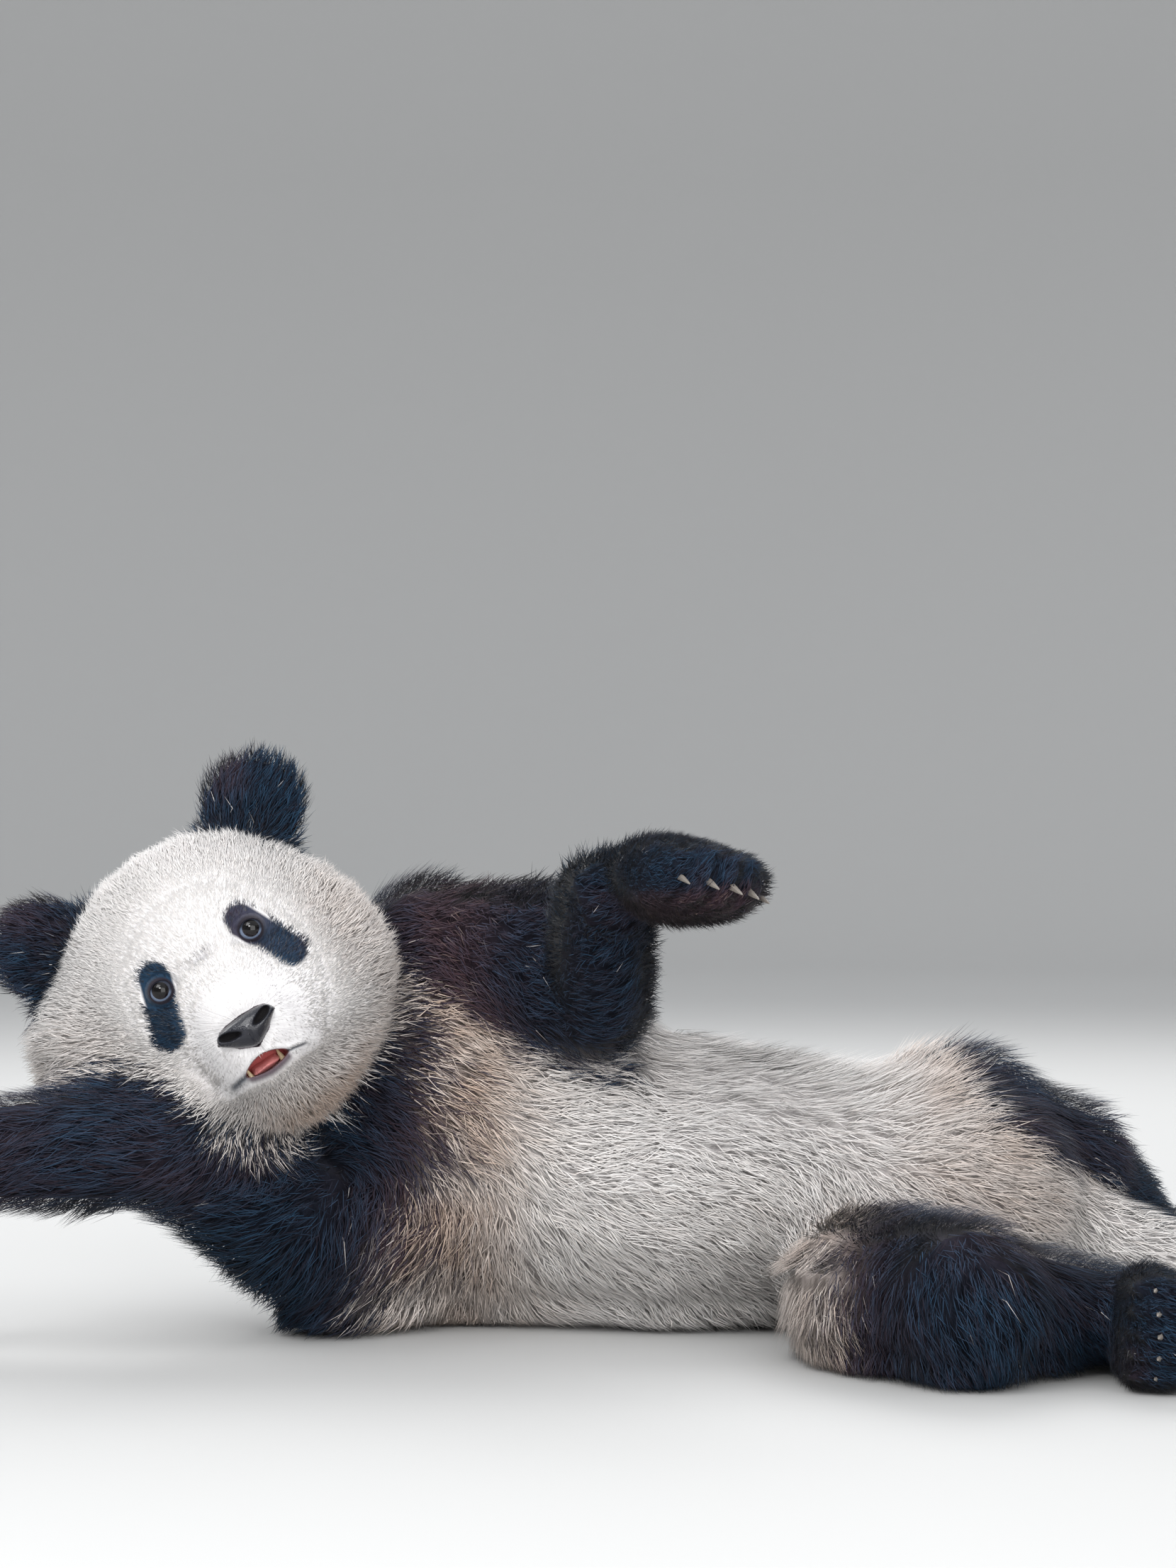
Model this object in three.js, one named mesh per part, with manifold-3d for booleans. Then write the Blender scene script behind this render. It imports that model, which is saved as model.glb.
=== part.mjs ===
// A young giant panda lying on its right side, as a still, life-size model. Millimetres, +Z up.
// +X runs from the head to the tail, the belly faces -Y, and the animal's left side is uppermost.
// The origin lies on the flat under the trunk. Every surface is the outside of the coat.
import * as THREE from "three";
import { mergeVertices } from "three/addons/utils/BufferGeometryUtils.js";
import Module from "manifold-3d";

const wasm = await Module();
wasm.setup();

const at = (x, y, z) => new THREE.Vector3(x, y, z);

// ---- Driving dimensions ----

const GAP = 0.3; // between solids that meet
const FLOOR_SINK = 6; // how much of a rounded underside the floor flattens
const MARCH = 3; // step of the search for a surface

// The head's own frame: left, up and forward, from a point between and behind the eyes.
const HEAD_PLACE = at(-314, -140, 309);
const HEAD_FORWARD = at(0.1, -0.99, 0.045).normalize();
const HEAD_CROWN = at(-0.57, 0, 0.82); // the chin rests on the right arm, so the head leans
const HEAD_LEFT = HEAD_CROWN.clone().cross(HEAD_FORWARD).normalize();
const HEAD_UP = HEAD_FORWARD.clone().cross(HEAD_LEFT).normalize();
const HEAD_TURN = new THREE.Quaternion().setFromRotationMatrix(
  new THREE.Matrix4().makeBasis(HEAD_LEFT, HEAD_UP, HEAD_FORWARD),
);
const EYE_APART = 45.5; // from the middle of the face
const EYE_UP = 30;
const EYE_FORWARD = 94;
const EYE_RADIUS = 12.5;
const EAR_SIDE = 107;
const EAR_UP = 114;
const EAR_BACK = -22;
const EAR_RADIUS = 53;
const NOSE_UP = -34;
const NOSE_FORWARD = 157;
const MOUTH_UP = -65;

// Joints of the limbs, shoulder or hip first. "Left" is the upper side.
const ARM_LEFT = { root: at(-150, 15, 334), bend: at(4, -118, 292), end: at(14, -218, 398) };
const ARM_RIGHT = { root: at(-218, -70, 84), bend: at(-366, -208, 180), end: at(-566, -208, 170) };
const LEG_LEFT = { root: at(298, 5, 162), bend: at(436, 72, 140), end: at(530, 216, 47) };
const LEG_RIGHT = { root: at(235, -100, 55), bend: at(306, -362, 72), end: at(446, -250, 44) };

// ---- Fields: negative inside a form, growing with the distance outside ----

const mix = THREE.MathUtils.lerp;
const head = (left, up, forward) =>
  HEAD_PLACE.clone()
    .addScaledVector(HEAD_LEFT, left)
    .addScaledVector(HEAD_UP, up)
    .addScaledVector(HEAD_FORWARD, forward);

// A round-ended limb that tapers from one radius to the other.
function limb(from, to, radiusFrom, radiusTo) {
  const run = to.clone().sub(from);
  return (p) => {
    const t = THREE.MathUtils.clamp(p.clone().sub(from).dot(run) / run.lengthSq(), 0, 1);
    return p.distanceTo(from.clone().addScaledVector(run, t)) - mix(radiusFrom, radiusTo, t);
  };
}

// An egg with half sizes along its own axes.
function egg(centre, half, turn = new THREE.Quaternion()) {
  const unturn = turn.clone().invert();
  return (p) => {
    const q = p.clone().sub(centre).applyQuaternion(unturn).divide(half);
    const slope = q.clone().divide(half).length();
    return slope > 1e-9 ? (q.length() * (q.length() - 1)) / slope : -Math.min(...half.toArray());
  };
}

const headEgg = (left, up, forward, halfLeft, halfUp, halfForward) =>
  egg(head(left, up, forward), at(halfLeft, halfUp, halfForward), HEAD_TURN);

// Forms flow together over a length of about the softness.
const soften = (a, b, softness) => {
  const share = Math.max(softness - Math.abs(a - b), 0) / softness;
  return Math.min(a, b) - (share * share * softness) / 4;
};
const flow = (softness, ...fields) => (p) =>
  fields.map((field) => field(p)).reduce((a, b) => soften(a, b, softness));
const hollow = (softness, field, dent) => (p) => -soften(-field(p), dent(p), softness);

// The turn that takes local X, Y and Z to side, along and their cross product.
function turnAlong(along, side) {
  const y = along.clone().normalize();
  const x = side.clone().addScaledVector(y, -side.dot(y)).normalize();
  const z = x.clone().cross(y);
  return new THREE.Quaternion().setFromRotationMatrix(new THREE.Matrix4().makeBasis(x, y, z));
}

// ---- Solids ----

function toSolid(geometry) {
  const bare = geometry.clone();
  ["normal", "uv"].forEach((name) => bare.deleteAttribute(name));
  const merged = mergeVertices(bare, 1e-3);
  const corners = Array.from(merged.index.array);
  const kept = [];
  for (let i = 0; i < corners.length; i += 3) {
    const [a, b, c] = corners.slice(i, i + 3);
    if (a !== b && b !== c && c !== a) kept.push(a, b, c);
  }
  return new wasm.Manifold(
    new wasm.Mesh({
      numProp: 3,
      vertProperties: merged.attributes.position.array,
      triVerts: new Uint32Array(kept),
    }),
  );
}

function toGeometry(solid) {
  const { numProp, numVert, vertProperties, triVerts } = solid.getMesh();
  const points = new Float32Array(numVert * 3);
  for (let i = 0; i < numVert; i++) {
    points.set(vertProperties.subarray(i * numProp, i * numProp + 3), i * 3);
  }
  return new THREE.BufferGeometry()
    .setAttribute("position", new THREE.BufferAttribute(points, 3))
    .setIndex(new THREE.BufferAttribute(new Uint32Array(triVerts), 1));
}

// A capsule bent along a path, whose vertices each move out along their own ray to the form's surface.
function wrap({ form, path, side, around, rows, caps }, grow = 0) {
  const curve = path.length > 2 ? new THREE.CatmullRomCurve3(path) : new THREE.LineCurve3(...path);
  const geometry = new THREE.CapsuleGeometry(1, 1, caps, around, rows);
  const points = geometry.attributes.position;
  const place = at(0, 0, 0);
  for (let i = 0; i < points.count; i++) {
    place.fromBufferAttribute(points, i);
    const middle = THREE.MathUtils.clamp(place.y, -0.5, 0.5);
    const start = curve.getPoint(middle + 0.5);
    const ray = place.setY(place.y - middle).normalize();
    ray.applyQuaternion(turnAlong(curve.getTangent(middle + 0.5), side));
    const depth = (reach) => form(start.clone().addScaledVector(ray, reach)) - grow;
    let outside = MARCH;
    while (depth(outside) < 0) outside += MARCH;
    let inside = outside - MARCH;
    for (let halving = 0; halving < 20; halving++) {
      const middleReach = (inside + outside) / 2;
      if (depth(middleReach) < 0) inside = middleReach;
      else outside = middleReach;
    }
    points.setXYZ(i, ...start.addScaledVector(ray, outside).toArray());
  }
  return toSolid(geometry);
}

const FLOOR = toSolid(new THREE.BoxGeometry(4000, 4000, 400).translate(0, 0, -200));

const panda = new THREE.Group();
const grown = {}; // each form again, larger by the gap, to cut its neighbours with

function add(name, solid, material) {
  const mesh = new THREE.Mesh(toGeometry(solid), material);
  mesh.name = name;
  panda.add(mesh);
}

// Places a form, cut by the floor, by neighbours placed before it and by other solids.
function place(name, shape, material, neighbours = [], others = []) {
  const cuts = [...neighbours.map((neighbour) => grown[neighbour]), ...others];
  const solid = cuts.reduce((rest, cut) => rest.subtract(cut), wrap(shape).subtract(FLOOR));
  const largest = solid.decompose().reduce((a, b) => (a.volume() > b.volume() ? a : b));
  grown[name] = wrap(shape, GAP);
  add(name, largest, material);
}

// ---- Finishes ----

const finish = (color, roughness) =>
  new THREE.MeshStandardMaterial({ color, roughness, metalness: 0 });
const WHITE_COAT = finish(0xe9e0d6, 0.95);
const BLACK_COAT = finish(0x17161b, 0.9);
const EYE = finish(0x140d0a, 0.08);
const NOSE = finish(0x1b191c, 0.35);
const TONGUE = finish(0xc4615c, 0.45);
const TOOTH = finish(0xe2d3ac, 0.35);
const CLAW = finish(0xb9ac98, 0.4);

// ---- Limbs ----

// A paw: a pad from the wrist or ankle, with toes side by side at its end, each with a claw.
// The claws drop towards the sole by a share of their length.
function paw(
  name,
  { from, along, across, length, width, thick, spread, claws, drop = 0.4 },
  neighbours,
) {
  const ahead = along.clone().normalize();
  const turn = turnAlong(ahead, across);
  const local = (x, y, z) => at(x, y, z).applyQuaternion(turn).add(from);
  const toe = (i) => ({ x: ((i - 2) / 2) * (width - 13), y: length - 22 - 4 * (i - 2) ** 2 });
  const toes = [0, 1, 2, 3, 4].map(toe).map(({ x, y }) => ({
    knuckle: local(x * 0.9, y - 26, 0),
    tip: local(x * spread, y + 8, 0),
  }));
  place(
    name,
    {
      form: flow(
        10,
        egg(local(0, length * 0.4, 0), at(width, length * 0.52, thick), turn),
        ...toes.map(({ knuckle, tip }) => limb(knuckle, tip, thick * 0.62, thick * 0.5)),
      ),
      path: [local(0, length * 0.22, 0), local(0, length * 0.72, 0)],
      side: at(0, 0, 1).applyQuaternion(turn),
      around: 16,
      rows: 3,
      caps: 4,
    },
    BLACK_COAT,
    neighbours,
  );
  // Local -Z is the sole's side, which the claws curve towards.
  toes.forEach(({ tip }, i) => {
    const down = at(0, 0, -1).applyQuaternion(turn);
    const root = tip.clone().addScaledVector(ahead, thick * 0.3);
    const bend = (share, sink) =>
      root
        .clone()
        .addScaledVector(ahead, claws * share)
        .addScaledVector(down, claws * drop * sink);
    const [bow, point] = [bend(0.6, 0.25), bend(1, 1)];
    const shape = {
      form: flow(2, limb(root, bow, 4.6, 3.4), limb(bow, point, 3.4, 1.2)),
      path: [root, bow, point],
      side: down,
      around: 5,
      rows: 1,
      caps: 1,
    };
    add(`${name}_claw_${i + 1}`, wrap(shape).subtract(grown[name]).subtract(FLOOR), CLAW);
  });
}

// An arm or a leg is an upper and a lower length, which meet at the elbow or knee.
function limbPair([upperName, lowerName], { root, bend, end }, { upper, lower, extra = [] }, neighbours) {
  place(
    upperName,
    {
      form: flow(30, limb(root, bend, ...upper), ...extra),
      path: [root.clone().lerp(bend, 0.15), root.clone().lerp(bend, 0.92)],
      side: at(0, 0, 1),
      around: 14,
      rows: 4,
      caps: 3,
    },
    BLACK_COAT,
    neighbours,
  );
  place(
    lowerName,
    {
      form: limb(bend, end, ...lower),
      path: [bend.clone().lerp(end, 0.1), bend.clone().lerp(end, 0.95)],
      side: at(0.3, 0.9, 0.2),
      around: 14,
      rows: 3,
      caps: 3,
    },
    BLACK_COAT,
    [...neighbours, upperName],
  );
}

// ---- Trunk ----

const TRUNK_FORM = flow(
  70,
  egg(at(-112, 28, 186), at(178, 158, 186 + FLOOR_SINK)), // chest
  egg(at(70, 6, 128), at(210, 172, 128 + FLOOR_SINK)), // belly
  egg(at(282, -26, 114), at(150, 150, 114 + FLOOR_SINK)), // hips
  egg(at(345, -20, 104), at(92, 112, 104 + FLOOR_SINK)), // rump
  limb(at(-165, 35, 250), at(-150, 20, 330), 84, 76), // left shoulder blade
  egg(at(-228, -58, 60), at(80, 92, 60 + FLOOR_SINK)), // right shoulder, under the chest
);
place(
  "trunk",
  {
    form: TRUNK_FORM,
    path: [at(-130, 25, 175), at(60, 5, 140), at(210, -15, 125), at(330, -22, 105)],
    side: at(0, 0, 1),
    around: 20,
    rows: 10,
    caps: 4,
  },
  WHITE_COAT,
);

// ---- Right arm: under the head, which rests on it ----

limbPair(
  ["upper_arm_right", "forearm_right"],
  ARM_RIGHT,
  { upper: [88, 62], lower: [66, 52] },
  ["trunk"],
);
paw(
  "hand_right",
  {
    from: at(-580, -210, 128),
    along: at(-68, -4, -106),
    across: at(0.05, 1, 0),
    length: 150,
    width: 50,
    thick: 36,
    spread: 1.08,
    claws: 20,
    drop: -0.8, // the floor bends these claws up
  },
  ["forearm_right"],
);

// ---- Head ----

const MUZZLE_TURN = HEAD_TURN.clone().multiply(
  new THREE.Quaternion().setFromAxisAngle(at(1, 0, 0), 0.15),
);
const HEAD_FORM = flow(
  38,
  headEgg(-3, 13, -12, 136, 134, 122), // skull
  headEgg(66, -32, 2, 80, 84, 86), // left cheek
  headEgg(-86, -18, -6, 88, 88, 84), // right cheek, pushed out by the arm beneath it
  headEgg(-122, 22, -28, 64, 62, 62), // ruff behind the right cheek
  headEgg(0, -76, 40, 78, 60, 72), // chin
  limb(head(0, -44, 72), head(-3, -48, 118), 56, 42), // muzzle
  limb(head(0, 10, 84), head(-3, -16, 134), 34, 25), // bridge of the nose
  limb(head(0, -86, 60), head(-4, -84, 114), 40, 22), // lower jaw
);
// The mouth stands a little open, with its corners drawn back round the muzzle.
const MOUTH_FORM = egg(head(-6, MOUTH_UP, 128), at(31, 9.5, 46), MUZZLE_TURN);
const MOUTH = {
  form: MOUTH_FORM,
  path: [head(-17, MOUTH_UP, 124), head(5, MOUTH_UP, 124)],
  side: HEAD_UP,
  around: 10,
  rows: 2,
  caps: 3,
};
const MOUTH_LINING = wrap(MOUTH, -GAP);
const eyePlace = (hand) => head(hand * EYE_APART, EYE_UP, EYE_FORWARD);
const eyeOpening = (hand) =>
  wrap({
    form: egg(head(hand * (EYE_APART + 1), EYE_UP, EYE_FORWARD + 18), at(13, 10, 22), HEAD_TURN),
    path: [head(hand * EYE_APART, EYE_UP, 110), head(hand * EYE_APART, EYE_UP, 114)],
    side: HEAD_UP,
    around: 8,
    rows: 1,
    caps: 3,
  });
const ball = (centre, radius) =>
  toSolid(new THREE.SphereGeometry(radius, 12, 8).translate(...centre.toArray()));
const NOSE_SHAPE = {
  form: flow(
    9,
    headEgg(-4, NOSE_UP + 1, NOSE_FORWARD, 29, 9, 15),
    headEgg(-4, NOSE_UP - 8, NOSE_FORWARD, 14, 11, 14),
  ),
  path: [head(-18, NOSE_UP - 1, NOSE_FORWARD), head(10, NOSE_UP - 1, NOSE_FORWARD)],
  side: HEAD_UP,
  around: 12,
  rows: 2,
  caps: 2,
};
place(
  "head",
  {
    form: HEAD_FORM,
    path: [head(0, -6, -50), head(0, -30, 40), head(0, -48, 100)],
    side: HEAD_UP,
    around: 22,
    rows: 5,
    caps: 5,
  },
  WHITE_COAT,
  ["trunk", "upper_arm_right", "forearm_right"],
  [
    wrap(MOUTH),
    wrap(NOSE_SHAPE, GAP),
    ...[1, -1].flatMap((hand) => [eyeOpening(hand), ball(eyePlace(hand), EYE_RADIUS + GAP)]),
  ],
);
[1, -1].forEach((hand) => {
  add(hand > 0 ? "eye_left" : "eye_right", ball(eyePlace(hand), EYE_RADIUS), EYE);
});
add("nose", wrap(NOSE_SHAPE), NOSE);

// The tongue lies in the mouth, clear of it all round, between the two lower eye teeth.
add(
  "tongue",
  wrap({
    form: egg(head(-9, MOUTH_UP - 2.5, 122), at(11, 4.6, 32), MUZZLE_TURN),
    path: [head(-9, MOUTH_UP - 1.5, 114), head(-9, MOUTH_UP - 3.5, 134)],
    side: HEAD_UP,
    around: 10,
    rows: 3,
    caps: 2,
  }).intersect(MOUTH_LINING),
  TONGUE,
);
[1, -1].forEach((hand) => {
  const root = head(-9 + hand * 15, MOUTH_UP - 2.5, 136);
  const tooth = new THREE.ConeGeometry(3.2, 15, 7).applyQuaternion(HEAD_TURN);
  add(
    hand > 0 ? "tooth_left" : "tooth_right",
    toSolid(tooth.translate(...root.toArray())).intersect(MOUTH_LINING),
    TOOTH,
  );
});

// ---- Ears: round shells, cupped in front ----

[1, -1].forEach((hand) => {
  const out = HEAD_LEFT.clone().multiplyScalar(hand * 0.76).addScaledVector(HEAD_UP, 0.65);
  const open = HEAD_FORWARD.clone().addScaledVector(out, 0.25).normalize();
  const turn = turnAlong(out, open);
  const middle = head(hand * EAR_SIDE, EAR_UP, EAR_BACK);
  place(
    hand > 0 ? "ear_left" : "ear_right",
    {
      form: hollow(
        10,
        egg(middle, at(22, EAR_RADIUS, EAR_RADIUS + 3), turn),
        egg(middle.clone().addScaledVector(open, 30), at(22, 34, 34), turn),
      ),
      path: [middle.clone().addScaledVector(out, -16), middle.clone().addScaledVector(out, 14)],
      side: open,
      around: 14,
      rows: 3,
      caps: 4,
    },
    BLACK_COAT,
    ["head"],
  );
});

// ---- Neck ----

place(
  "neck",
  {
    form: limb(head(0, -12, -62), at(-178, 20, 236), 112, 124),
    path: [head(0, -12, -62), at(-178, 20, 236)],
    side: at(0, 0, 1),
    around: 16,
    rows: 2,
    caps: 3,
  },
  WHITE_COAT,
  ["trunk", "upper_arm_right", "head"],
);

// ---- Left arm: across the body ----

limbPair(
  ["upper_arm_left", "forearm_left"],
  ARM_LEFT,
  {
    upper: [80, 58],
    lower: [58, 47],
    // The flesh of the shoulder and of the bent elbow.
    extra: [egg(at(-62, -52, 348), at(72, 66, 62)), egg(at(-12, -104, 348), at(60, 60, 64))],
  },
  ["trunk", "head", "neck"],
);

paw(
  "hand_left",
  {
    from: at(32, -224, 407),
    along: at(70, -92, -2),
    across: at(-0.9, -0.35, 0.2),
    length: 140,
    width: 52,
    thick: 33,
    spread: 1.1,
    claws: 20,
  },
  ["forearm_left"],
);
// ---- Legs ----

limbPair(
  ["thigh_left", "shin_left"],
  LEG_LEFT,
  {
    upper: [88, 72],
    lower: [68, 50],
    extra: [egg(at(346, 15, 176), at(78, 78, 86))], // the hip's rise
  },
  ["trunk"],
);
limbPair(
  ["thigh_right", "shin_right"],
  LEG_RIGHT,
  {
    upper: [66, 76],
    lower: [66, 46],
    extra: [egg(at(232, -232, 62), at(82, 130, 74))], // the thigh's weight spread on the floor
  },
  ["trunk"],
);

paw(
  "foot_left",
  {
    from: at(540, 214, 42),
    along: at(150, 10, -3),
    across: at(0, 0.3, 1),
    length: 150,
    width: 44,
    thick: 34,
    spread: 1.05,
    claws: 16,
  },
  ["shin_left"],
);
paw(
  "foot_right",
  {
    from: at(448, -262, 48),
    along: at(6, -160, 2),
    across: at(0, 0, 1),
    length: 165,
    width: 46,
    thick: 40,
    spread: 1.05,
    claws: 16,
  },
  ["shin_right", "thigh_right"],
);

// ---- Tail ----

place(
  "tail",
  {
    form: limb(at(392, -30, 104), at(520, -50, 62), 56, 40),
    path: [at(400, -32, 102), at(515, -49, 64)],
    side: at(0, 0, 1),
    around: 14,
    rows: 3,
    caps: 3,
  },
  WHITE_COAT,
  ["trunk", "thigh_left", "thigh_right", "shin_left", "shin_right"],
);

export default panda;
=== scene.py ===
"""Dresses a young giant panda that lies on its right side: skin, coat, eyes, nose, mouth and claws.

One skin replaces the nodes of flesh and lies inside them by the depth of the coat. The coat is a mesh of
thin closed tufts rooted in the skin. Lengths are in metres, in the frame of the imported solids: +X runs
from the head to the tail, the belly faces -Y and the animal's left side is uppermost.
"""

from math import cos, pi, radians, sin

import bmesh
import bpy
import numpy as np
from bpy.props import FloatProperty, FloatVectorProperty, IntProperty, PointerProperty
from mathutils import Matrix, Vector, kdtree
from mathutils.bvhtree import BVHTree


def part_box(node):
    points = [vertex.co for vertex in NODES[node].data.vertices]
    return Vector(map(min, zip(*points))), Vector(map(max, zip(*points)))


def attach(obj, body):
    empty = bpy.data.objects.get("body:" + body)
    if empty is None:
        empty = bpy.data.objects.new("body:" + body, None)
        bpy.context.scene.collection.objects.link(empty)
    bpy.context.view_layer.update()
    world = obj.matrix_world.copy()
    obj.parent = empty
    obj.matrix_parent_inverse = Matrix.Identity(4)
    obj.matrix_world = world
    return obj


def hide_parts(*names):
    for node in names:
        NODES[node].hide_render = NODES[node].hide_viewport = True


bl_info = {
    "name": "Giant Panda Dresser",
    "version": (1, 0, 0),
    "blender": (4, 5, 0),
    "location": "3D View > Sidebar > Panda",
    "description": "Gives the solids of a lying giant panda their skin, coat, eyes, nose, mouth and claws",
    "category": "Object",
}

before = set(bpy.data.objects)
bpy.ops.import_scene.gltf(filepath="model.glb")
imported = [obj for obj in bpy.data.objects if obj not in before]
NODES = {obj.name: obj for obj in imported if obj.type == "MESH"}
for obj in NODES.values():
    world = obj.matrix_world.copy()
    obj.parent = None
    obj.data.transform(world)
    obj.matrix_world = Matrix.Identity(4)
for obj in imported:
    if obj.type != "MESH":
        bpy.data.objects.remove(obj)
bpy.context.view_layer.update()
BODY = "root"

# ---- The frame's own places ----


def centre(name):
    """The centre of a node's surface."""
    triangles, area = triangles_of(NODES[name])
    return (points_of(NODES[name])[triangles].mean(1) * area[:, None]).sum(0) / area.sum()


def middle(name):
    """The middle of a node's box."""
    low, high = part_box(name)
    return np.array((low + high) / 2)


def points_of(piece):
    flat = np.empty(len(piece.data.vertices) * 3, np.float32)
    piece.data.vertices.foreach_get("co", flat)
    return flat.reshape(-1, 3).astype(float)


def triangles_of(piece):
    """Corner numbers of the piece's triangles, with their areas."""
    piece.data.calc_loop_triangles()
    count = len(piece.data.loop_triangles)
    index = np.empty(count * 3, np.int32)
    area = np.empty(count, np.float32)
    piece.data.loop_triangles.foreach_get("vertices", index)
    piece.data.loop_triangles.foreach_get("area", area)
    return index.reshape(-1, 3), area.astype(float)


def unit(vectors):
    vectors = np.asarray(vectors, float)
    return vectors / np.maximum(np.linalg.norm(vectors, axis=-1, keepdims=True), 1e-12)


def smooth(low, high, x):
    """0 up to low, 1 from high, and an even rise between."""
    t = np.clip((np.asarray(x, float) - low) / (high - low), 0, 1)
    return t * t * (3 - 2 * t)


def bell(x, peak, width):
    """1 at the peak, with a soft fall on either side."""
    return np.exp(-(((x - peak) / width) ** 2))


# The head's frame starts midway between the eyes. Seen from there, the nose lies ahead and below.
NOSE_SLOPE = radians(43.8)
EYE = {hand: middle(f"eye_{hand}") for hand in ("left", "right")}
EYE_RADIUS = float((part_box("eye_left")[1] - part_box("eye_left")[0])[2]) / 2
BROW = (EYE["left"] + EYE["right"]) / 2
LEFT = unit(EYE["left"] - EYE["right"])
NOSE = centre("nose")
TO_NOSE = unit((NOSE - BROW) - LEFT * ((NOSE - BROW) @ LEFT))
BESIDE = np.cross(TO_NOSE, LEFT)
FORWARD = unit(TO_NOSE * sin(NOSE_SLOPE) + BESIDE * cos(NOSE_SLOPE))
UP = np.cross(FORWARD, LEFT)
HEAD_AXES = np.array([LEFT, UP, FORWARD])
EYE_APART = float(np.linalg.norm(EYE["left"] - EYE["right"])) / 2


def to_head(points):
    """Left, up and forward from the point between the eyes."""
    return (np.asarray(points, float) - BROW) @ HEAD_AXES.T


def from_head(places):
    return np.asarray(places, float) @ HEAD_AXES + BROW


NOSE_PLACE = to_head(NOSE)
# Middle of the open lips, and the hollow behind them.
LIPS = np.array([-0.007, -0.098, 0.059])
MOUTH_HALF = 0.0212  # half the width of the open mouth
HOLLOW = np.array([-0.006, -0.095, 0.034])
HOLLOW_DIP = 0.15  # radians that it slopes down towards the front
PARTING = NOSE_PLACE + [0, 0.004, -0.03]  # the hair of the head runs away from here

# ---- Flesh: the nodes that one skin replaces, with their coat ----


class Region:
    """A node of flesh: the depth and length of its coat, how black it is and which way the hair lies."""

    def __init__(self, depth, length, black, start, end, lift=26.0):
        self.depth = depth
        self.length = length
        self.black = black
        self.lie = unit(middle(end) - middle(start))
        self.lift = lift


REGIONS = {
    "trunk": Region(0.022, 0.042, 0.0, "neck", "tail", 23.0),
    "head": Region(0.010, 0.019, 0.0, "nose", "neck", 20.0),
    "neck": Region(0.022, 0.040, 0.0, "head", "trunk"),
    "tail": Region(0.020, 0.040, 0.0, "trunk", "tail"),
    "ear_left": Region(0.008, 0.022, 1.0, "head", "ear_left", 30.0),
    "ear_right": Region(0.008, 0.022, 1.0, "head", "ear_right", 30.0),
    "upper_arm_left": Region(0.020, 0.036, 1.0, "upper_arm_left", "forearm_left", 34.0),
    "forearm_left": Region(0.017, 0.032, 1.0, "upper_arm_left", "hand_left", 30.0),
    "hand_left": Region(0.004, 0.017, 1.0, "forearm_left", "hand_left", 32.0),
    "upper_arm_right": Region(0.022, 0.042, 1.0, "upper_arm_right", "forearm_right"),
    "forearm_right": Region(0.018, 0.036, 1.0, "upper_arm_right", "hand_right"),
    "hand_right": Region(0.008, 0.019, 1.0, "forearm_right", "hand_right", 28.0),
    "thigh_left": Region(0.022, 0.042, 0.0, "trunk", "shin_left", 32.0),
    "shin_left": Region(0.018, 0.036, 1.0, "thigh_left", "foot_left"),
    "foot_left": Region(0.008, 0.019, 1.0, "shin_left", "foot_left", 28.0),
    "thigh_right": Region(0.020, 0.036, 0.0, "trunk", "thigh_right", 28.0),
    "shin_right": Region(0.018, 0.036, 1.0, "thigh_right", "shin_right"),
    "foot_right": Region(0.008, 0.019, 1.0, "shin_right", "foot_right", 28.0),
}
FLESH = list(REGIONS)
LIMBS = ("hand_left", "hand_right", "foot_left", "foot_right")
PAW_CLAWS = {paw: [f"{paw}_claw_{i}" for i in range(1, 6)] for paw in LIMBS}


# ---- Settings ----


def colour_setting(name, description, default):
    return FloatVectorProperty(
        name=name, description=description, subtype="COLOR", size=3, min=0, max=1, default=default
    )


class PandaCoatSettings(bpy.types.PropertyGroup):
    white: colour_setting("White", "Colour of the pale coat at the tips", (0.93, 0.92, 0.91))
    under: colour_setting("Undercoat", "Colour of the pale coat at the roots", (0.88, 0.83, 0.80))
    black: colour_setting("Black", "Colour of the black coat", (0.008, 0.010, 0.018))
    # Sheen is a painted highlight: blue lit strands painted into the black coat's colour.
    sheen: colour_setting("Sheen", "Colour of the lit strands of the black coat", (0.030, 0.098, 0.185))
    rust: colour_setting("Rust", "Brown tint of weathered black hair", (0.105, 0.056, 0.062))
    stain: colour_setting("Stain", "Tan of the stained pale coat", (0.57, 0.42, 0.33))
    locks: IntProperty(name="Locks", description="Long tufts in the whole coat", default=236000, min=1000)
    spikes: IntProperty(name="Spikes", description="Short tufts on the face", default=9000, min=1000)
    long: FloatProperty(name="Length", description="Share of the natural length", default=1.0, min=0.2)
    seed: IntProperty(name="Seed", description="Start of the random draws", default=7)


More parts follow.
